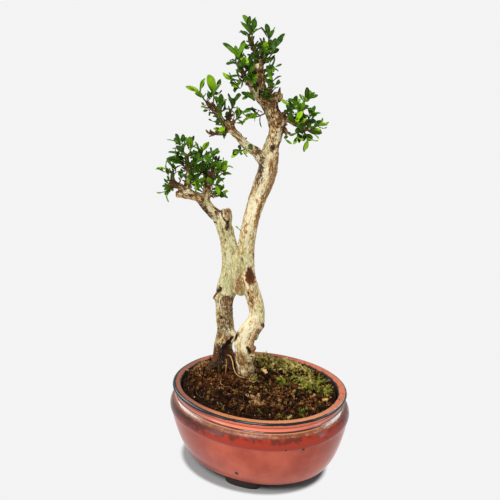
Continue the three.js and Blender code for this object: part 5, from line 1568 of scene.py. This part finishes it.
def placed_leaf(grown, joints, seen_leaf):
    """A leaf between two places, turned to show its width, with a fine twig back to the wood."""
    base_u, base_v, tip_u, tip_v, base_depth, tip_depth, width, tone = seen_leaf
    base, tip = from_frame(base_u, base_v, base_depth), from_frame(tip_u, tip_v, tip_depth)
    width = width * (tip - EYE).length / FRAME_FOCUS
    heading = (tip - base).normalized()
    length = (tip - base).length
    breadth = max(width, LEAST_BREADTH * length)
    roll = math.acos(min(1, width / breadth)) * shade.choice((-1, 1)) + shade.uniform(-ROLL_PLAY, ROLL_PLAY)
    up = turned_about(square_to(FACING + FACING_PLAY * any_way(shade), heading), heading, roll)
    known = np.array(joints)
    reach = known - np.array(base)
    cost = np.linalg.norm(reach, axis=1) + UPHILL_COST * np.maximum(0, reach[:, 2])
    joint = Vector(known[cost.argmin()])
    gap = (base - joint).length
    if gap > LEAST_TWIG:
        middle = (joint + base) / 2 - heading * 0.18 * gap + any_way(shade) * 0.06 * gap
        thick = 0.30 + 0.025 * min(gap, 10)
        grown.twig([joint, middle, base], thick, 0.24, 0.4 + 0.6 * tone)
        joints += curve_at([joint, middle, base], np.linspace(0.3, 1, 5)).tolist()
    grown.leaf(base, heading, up, length, breadth, tone, droop=0.7, wave=0.06)


def shoot_growth(grown, stations, stub_share):
    """Short leafy side shoots and dead stubs all along one stem of a crown."""
    stem = Stem(stations)
    reach = stem.run[-1]
    place = SHOOT_GAP + reach * BARE_SHARE[stem.radii[0] > STOUT_RADIUS]
    while place < reach:
        index = int(np.searchsorted(stem.run, place))
        axis, centre = Vector(stem.along[index]), Vector(stem.centres[index])
        out = square_to(any_way(shade) + Vector((0, 0, 0.3)), axis)
        root = centre + out * stem.radii[index] * 0.8
        heading = (out + axis * shade.uniform(0.2, 1.1) + Vector((0, 0, 0.25))).normalized()
        if shade.random() < stub_share:
            tip = root + heading * shade.uniform(*STUB_LENGTH)
            grown.twig([root, (root + tip) / 2, tip], 0.75, 0.4)
        else:
            tip = root + heading * shade.uniform(*SHOOT_LENGTH)
            grown.twig([root, (root + tip) / 2 + axis * 0.2, tip], 0.4, 0.28, 0.4)
            turn = shade.uniform(0, math.pi)
            side = square_to(any_way(shade), heading)
            for half in (0, 1):
                lean = shade.uniform(0.35, 0.9)
                ahead, up = leaning(heading, turned_about(side, heading, turn + half * math.pi), lean)
                length = shade.uniform(*SHOOT_LEAF_LENGTH)
                tone = shade.uniform(0, SHOOT_LEAF_TONE)
                grown.leaf(tip, ahead, up, length, length * shade.uniform(0.34, 0.44), tone, wave=0.08)
        place += SHOOT_GAP * shade.uniform(0.7, 1.3)


for crown, grown in crowns.items():
    wood = CROWN_STEMS[crown] + DEAD_STEMS[crown]
    joints = [centre for stations in wood for centre in Stem(stations).centres.tolist()]
    for root, tip, *_ in SPRAYS[crown]:
        joints += np.linspace(root, tip, 6).tolist()
    if crown == "middle":
        joints.append(list(from_frame(*BUD_JOINT)))
    for seen_leaf in PLACED_LEAVES[crown]:
        placed_leaf(grown, joints, seen_leaf)
    for stations in CROWN_STEMS[crown] * SHOOT_ROUNDS[crown]:
        shoot_growth(grown, stations, STUB_SHARE)
    for stations in DEAD_STEMS[crown]:
        shoot_growth(grown, stations, 1.0)
for crown, grown in crowns.items():
    grown.pieces(crown, [f"spray_{crown}_{index + 1:02d}" for index in range(len(SPRAYS[crown]))])

# ---------------------------------------------------------------------------------------------------
# Ground cover: dry brown moss over most of the soil, living moss at the back right, and the fibres,
# fine roots, grit and bark litter that lie among it. Every sprig is a stem with rings of leaflets.
DRY_MOSS = [
    # where a patch lies in the tree's frame, half its size, tone, its spread, and sprigs
    ((0, 0), (62, 62), 0.34, 0.20, 2300),
    ((-42, 27), (13, 7), 0.66, 0.16, 150),
    ((-40, 4), (10, 10), 0.46, 0.14, 110),
    ((-24, -2), (13, 12), 0.42, 0.12, 210),
    ((-12, -5), (12, 6), 0.50, 0.16, 120),
    ((10, -10), (9, 6), 0.58, 0.14, 110),
    ((-1, -24), (4, 6), 0.80, 0.12, 60),
    ((8, -26), (8, 7), 0.48, 0.16, 80),
    ((34, -22), (13, 9), 0.56, 0.14, 130),
    ((-50, 24), (3, 3), 0.72, 0.10, 16),
]
LIVING_MOSS = [
    ((16, 33), (26, 13), 0.82, 0.26, 560),
    ((28, 24), (16, 9), 0.74, 0.26, 260),
    ((34, 3), (14, 10), 0.64, 0.22, 260),
    ((31, -1), (6, 4), 0.40, 0.08, 60),
    ((16.5, 0.5), (5, 4.5), 0.36, 0.08, 45),
    ((28, -33), (3, 3), 0.36, 0.08, 7),
    ((46, -8), (7, 7), 0.40, 0.14, 50),
    ((3, 20), (7, 8), 0.70, 0.15, 60),
    ((-3, -3), (6, 4), 0.55, 0.2, 20),
    ((0, 0), (60, 60), 0.62, 0.2, 60),
]
GRIT = [
    # where a pale grain lies, its size and its tone
    (-29.2, 3.6, 1.1, 0.9), (-32.0, -4.1, 1.2, 0.9), (-26.3, -10.1, 0.8, 1.0), (-10.3, -7.9, 1.0, 0.8),
    (-5.9, -13.0, 0.9, 1.0), (47.5, -10.2, 1.1, 0.9), (48.6, -0.5, 1.3, 0.6), (-11, -13.6, 0.9, 0.6),
]
GRIT_COUNT = 420
GRIT_SIZE = (0.35, 0.9)
GRIT_TONES = (0.05, 0.25, 0.4, 0.55, 0.8)
GRIT_ODDS = (0.3, 0.3, 0.2, 0.12, 0.08)
GRAIN_FACES = np.array([
    (0, 2, 4), (2, 1, 4), (1, 3, 4), (3, 0, 4), (2, 0, 5), (1, 2, 5), (3, 1, 5), (0, 3, 5),
])
GRAIN_SHAPE = np.array([(1, 0, 0), (-1, 0, 0), (0, 1, 0), (0, -1, 0), (0, 0, 1), (0, 0, -1)], float)
FIBRE_COUNT = 230
FIBRE_LENGTH = (3, 9)
FIBRE_TONES = (0.3, 0.5, 0.7, 0.9)
FIBRE_ODDS = (0.35, 0.3, 0.25, 0.1)
ROOT_LIFT = 1.3
SPRIG_KINDS = 10
SPRIG_RINGS = 6
SPRIG_LENGTH = (2.0, 4.4)
SPRIG_RADIUS = 0.04
SPRIG_LEAN = (0.1, 1.25)
SPRIG_SUNK = 0.3
LEAFLET_REACH = (0.22, 0.38)
LEAFLET_WIDTH = 0.24
WIDE_PATCH = 40
MOSS_EDGE = 43.6
TIP_PALER = 0.9
TUFT_TALLER = 0.5
MOSS_RAMP = [(0.0, (0.008, 0.014, 0.003)), (0.28, (0.05, 0.15, 0.008)), (0.45, (0.17, 0.29, 0.016)),
             (0.66, (0.40, 0.33, 0.045)), (0.84, (0.60, 0.47, 0.11)), (1.0, (0.80, 0.66, 0.26))]
DRY_RAMP = [(0.0, (0.007, 0.004, 0.003)), (0.3, (0.030, 0.013, 0.006)), (0.5, (0.085, 0.027, 0.009)),
            (0.7, (0.30, 0.105, 0.028)), (0.86, (0.62, 0.32, 0.10)), (1.0, (0.90, 0.62, 0.30))]
GRIT_RAMP = [(0.0, (0.02, 0.012, 0.008)), (0.5, (0.16, 0.08, 0.04)), (1.0, (0.60, 0.42, 0.23))]
FINE_ROOTS = [
    # fine pale roots over the soil, each a row of places with its radius, then its tone
    ([(-21.8, 16.4, 70.5), (-19.4, 9, 73), (-18, 3, 72.6), (-17.3, 1, 69.6), (-16.6, -0.5, 66),
      (-14.7, -1.6, 63.8), (-12, -2.4, 62.2), (-8.2, -2.8, 62), (-3.9, -3.2, 61.4), (0.4, -4.2, 59.6)],
     0.36, 0.86),
    ([(-6.6, -3.4, 58.8), (-4.0, -3.9, 58.8), (-2.2, -3.6, 58.6)], 0.75, 0.95),
    ([(-22.6, 16.4, 67.5), (-22, 12, 66), (-22.6, 8, 62.6), (-22.8, 6.8, 61)], 0.45, 0.72),
    ([(4.0, 8.6, 63.0), (4.6, 7.8, 60.4), (5.4, 7.4, 58.4), (5.6, 7.2, 57.0)], 1.7, 0.93),
    ([(10, 13, 60), (13, 11, 59.2), (16, 6.6, 57.6)], 0.3, 0.6),
    ([(-52.8, 25.0, 54.5), (-50.4, 22.0, 54.8), (-48.8, 20.4, 53.8)], 0.5, 0.75),
    ([(3.2, -16.8, 56.6), (6.4, -15.6, 57.2), (8.6, -17.4, 56.0)], 0.6, 0.5),
    ([(20.8, -10.6, 55.6), (22.6, -14.8, 55.2), (23.6, -18.6, 54.0)], 0.5, 0.7),
]
BARK_FLAKES = [
    # bark litter: middle, length, width, turn and tone
    (23.5, -1.5, 10, 4.2, 2.5, 0.45), (43.8, -18.5, 4.4, 1.8, 0.1, 0.85), (45.0, 6.0, 2.6, 1.6, 0.8, 0.6),
    (22.0, -14.0, 4.2, 1.0, 1.9, 0.8), (-22, -16, 3.0, 1.4, 0.6, 0.6), (14, -20, 3.4, 1.5, 2.2, 0.5),
]
FLAKE_ROWS = 9
FLAKE_ACROSS = (-0.5, -0.15, 0.2, 0.5)
FLAKE_THICKNESS = 0.6


def inside_pot(x, y, margin):
    """Whether places of the tree's frame lie inside the pot's wall by a margin."""
    px, py = in_part_frame(x, y)
    wall = MOSS_EDGE - margin
    return np.abs(px / (wall + OVAL_EXTRA)) ** OVAL_POWER + np.abs(py / wall) ** OVAL_POWER < 1


def sprig_kind(draw):
    """One sprig a unit long: a bent three-sided stem with rings of pointed leaflets."""
    bend, sway = draw.uniform(-0.4, 0.4, 2)

    def spot(share):
        """A place up the sprig's stem."""
        return np.array([bend * share ** 2, sway * share ** 2, share - 0.12 * share ** 2])

    places, shares, leaflets = [], [], []
    for share in (0.0, 0.5, 1.0):
        for turn in round_angles(3):
            radius = SPRIG_RADIUS * (1 - 0.7 * share)
            places.append(spot(share) + radius * np.array([math.cos(turn), math.sin(turn), 0]))
            shares.append(share * 0.4)
    for ring in range(SPRIG_RINGS):
        share = (ring + 1) / SPRIG_RINGS
        foot = spot(share * 0.95)
        for part in range(3):
            turn = ring * 1.1 + part * 2 * math.pi / 3 + draw.uniform(-0.4, 0.4)
            reach = draw.uniform(*LEAFLET_REACH) * (1 - 0.45 * share)
            out = np.array([math.cos(turn), math.sin(turn), draw.uniform(0.2, 0.9)]) * reach
            side = np.array([-math.sin(turn), math.cos(turn), 0]) * reach * LEAFLET_WIDTH
            curl = np.array([0, 0, draw.uniform(-0.05, 0.12)])
            leaflets.append(np.arange(4) + len(places))
            places += [foot, foot + out * 0.5 + side, foot + out + curl, foot + out * 0.5 - side]
            shares += [share * 0.5, share, 1, share]
    return np.array(places), np.concatenate([rows_to_faces(3, 3), leaflets]), np.array(shares)


def frames_for(headings, draw):
    """Turned frames whose third axis is each heading."""
    helper = draw.normal(size=headings.shape)
    first = np.cross(helper, headings)
    first /= np.linalg.norm(first, axis=1)[:, None]
    return np.stack([first, np.cross(headings, first), headings], axis=1)


def moss(name, patches, material, slot, draw):
    """A cover of sprigs: scattered in each patch, thicker where a noise is high, leaning all ways."""
    spots, tones, tufts = [], [], []
    for middle, half_size, tone, spread, count in patches:
        found = 0
        while found < count:
            size = (count * 3, 2)
            out = draw.normal(size=size) * 0.5 if max(half_size) < WIDE_PATCH else draw.uniform(-1, 1, size)
            place = out * half_size + middle
            place = place[inside_pot(place[:, 0], place[:, 1], 0)]
            clump = noise_at(np.c_[place * 0.16, np.full(len(place), 3.0)])
            place = place[clump + draw.uniform(-0.5, 0.5, len(place)) > -0.12][:count - found]
            found += len(place)
            spots.append(place)
            patchy = noise_at(np.c_[place * 0.11, np.full(len(place), 9.0)])
            tuft = noise_at(np.c_[place * 0.27, np.full(len(place), 5.0)])
            tufts.append(tuft)
            uneven = 1.2 * patchy + 1.5 * tuft + draw.normal(size=len(place)) * 0.8
            tones.append(tone - 0.09 + spread * uneven)
    spots, tones = np.concatenate(spots), np.clip(np.concatenate(tones), 0, 1)
    heights = np.array([ground(x, y) for x, y in spots])
    lean = draw.uniform(*SPRIG_LEAN, len(spots))
    turn = draw.uniform(0, 2 * math.pi, len(spots))
    headings = np.stack([np.sin(lean) * np.cos(turn), np.sin(lean) * np.sin(turn), np.cos(lean)], axis=1)
    frames = frames_for(headings, draw)
    lengths = draw.uniform(*SPRIG_LENGTH, len(spots)) * np.where(inside_pot(*spots.T, 3), 1, 0.6)
    lengths *= 1 + TUFT_TALLER * np.concatenate(tufts)
    roots = np.c_[spots, heights - SPRIG_SUNK]
    places, faces, tone_rows, start = [], [], [], 0
    for kind in range(SPRIG_KINDS):
        shape, quads, shares = sprig_kind(draw)
        chosen = np.arange(kind, len(spots), SPRIG_KINDS)
        leant = np.einsum("kj,njl->nkl", shape, frames[chosen])
        places.append((leant * lengths[chosen, None, None] + roots[chosen, None]).reshape(-1, 3))
        offsets = start + np.arange(len(chosen)) * len(shape)
        faces += (quads[None] + offsets[:, None, None]).reshape(-1, 4).tolist()
        # each sprig is painted darker to its base and paler to its tip: painted shade down in the cover and a
        # painted highlight on the tips
        tone_rows.append((tones[chosen, None] + TIP_PALER * (shares[None] - 0.6)).ravel())
        start += len(chosen) * len(shape)
    make_piece(name, np.concatenate(places), faces, material, slot, turned=True, smooth=False,
               tone=np.concatenate(tone_rows))


def toned_material(name, stops, roughness, specular):
    """A dull natural material coloured by the pieces' own tone."""
    material = new_material(name)
    tree = material.node_tree
    mottle = grain(tree, scale=900, detail=3)
    tone = plus(tree, read(tree, "tone"), swing(tree, mottle, 0.3))
    finish_surface(tree, ramped(tree, tone, stops), roughness, mottle, relief=0.3, specular=specular)
    return material


draw = np.random.default_rng(31)
dry_skin = toned_material("dry_moss", DRY_RAMP, 0.85, 0.05)
moss("moss_dry", DRY_MOSS, dry_skin, "earth", draw)
moss("moss_living", LIVING_MOSS, toned_material("living_moss", MOSS_RAMP, 0.7, 0.08), "leaf", draw)

# Grit and crumbs: small broken grains, most of them dark, pressed into the soil
places, faces, tones = [], [], []
grains = list(GRIT)
while len(grains) < GRIT_COUNT:
    x, y = draw.uniform(-60, 60, 2)
    if inside_pot(x, y, 0.5):
        grains.append((x, y, draw.uniform(*GRIT_SIZE), draw.choice(GRIT_TONES, p=GRIT_ODDS)))
for x, y, size, tone in grains:
    shape = GRAIN_SHAPE * draw.uniform(0.6, 1.1, 3) * draw.uniform(0.75, 1.1, (6, 1)) * size
    axes = frames_for(draw.normal(size=(1, 3)), draw)[0]
    axes = axes / np.linalg.norm(axes, axis=1)[:, None]
    faces += (GRAIN_FACES + 6 * len(places)).tolist()
    places.append(shape @ axes + (x, y, ground(x, y) + size * draw.uniform(0.2, 1.4)))
    tones += [tone] * 6
make_piece("soil_grit", np.concatenate(places), faces, toned_material("broken_grit", GRIT_RAMP, 0.7, 0.3),
           "earth", turned=True, smooth=False, tone=tones)

# Fibres, fine roots and litter, gathered as the crowns' twigs are
litter = Crown()
tones = []
for _ in range(FIBRE_COUNT):
    x, y = draw.uniform(-56, 56, 2)
    if not inside_pot(x, y, 3):
        continue
    turn, curl = draw.uniform(0, 2 * math.pi), draw.uniform(-1.2, 1.2)
    length = draw.uniform(*FIBRE_LENGTH)
    points = []
    for step in range(5):
        spot = (x + math.cos(turn) * length * step / 4, y + math.sin(turn) * length * step / 4)
        if not inside_pot(*spot, 1):
            break
        points.append((*spot, ground(*spot) + 0.4 + draw.uniform(0, 1.8)))
        turn += curl * 0.5
    if len(points) > 2:
        litter.twig(points, 0.16, 0.08)
        tones.append(draw.choice(FIBRE_TONES, p=FIBRE_ODDS))
for points, radius, tone in FINE_ROOTS:
    litter.twig([(x, y, max(z, ground(x, y) + ROOT_LIFT)) for x, y, z in points], radius, radius * 0.6)
    tones.append(tone)
make_piece("soil_fibres", np.concatenate(litter.twig_places), litter.twig_faces, dry_skin, "earth",
           turned=True, tone=np.repeat(tones, TWIG_STEPS * TWIG_SIDES))

places, quads, tones = [], [], []
for x, y, length, width, turn, tone in BARK_FLAKES:
    top = []
    for along in np.linspace(-0.5, 0.5, FLAKE_ROWS):
        breadth = width * (1 - abs(2 * along) ** 3) ** 0.5 * draw.uniform(0.75, 1)
        for across in FLAKE_ACROSS:
            u, v = along * length, across * breadth + draw.uniform(-0.1, 0.1)
            px, py = x + u * math.cos(turn) - v * math.sin(turn), y + u * math.sin(turn) + v * math.cos(turn)
            top.append((px, py, ground(px, py) + 1.6 + 0.25 * width * (0.25 - across ** 2) + 0.6 * along))
    upper = len(places) + np.arange(len(top)).reshape(FLAKE_ROWS, -1)
    under = upper + len(top)
    places += top + [(px, py, pz - FLAKE_THICKNESS) for px, py, pz in top]
    quads += two_skins(upper, under)
    for i in range(FLAKE_ROWS - 1):
        quads.append((upper[i, 0], under[i, 0], under[i + 1, 0], upper[i + 1, 0]))
        quads.append((upper[i, -1], upper[i + 1, -1], under[i + 1, -1], under[i, -1]))
    for j in range(len(FLAKE_ACROSS) - 1):
        quads.append((upper[0, j], upper[0, j + 1], under[0, j + 1], under[0, j]))
        quads.append((upper[-1, j], under[-1, j], under[-1, j + 1], upper[-1, j + 1]))
    tones += [tone] * 2 * len(top)
make_piece("bark_litter", places, np.array(quads).tolist(), dry_skin, "earth", turned=True, smooth=False,
           tone=tones)
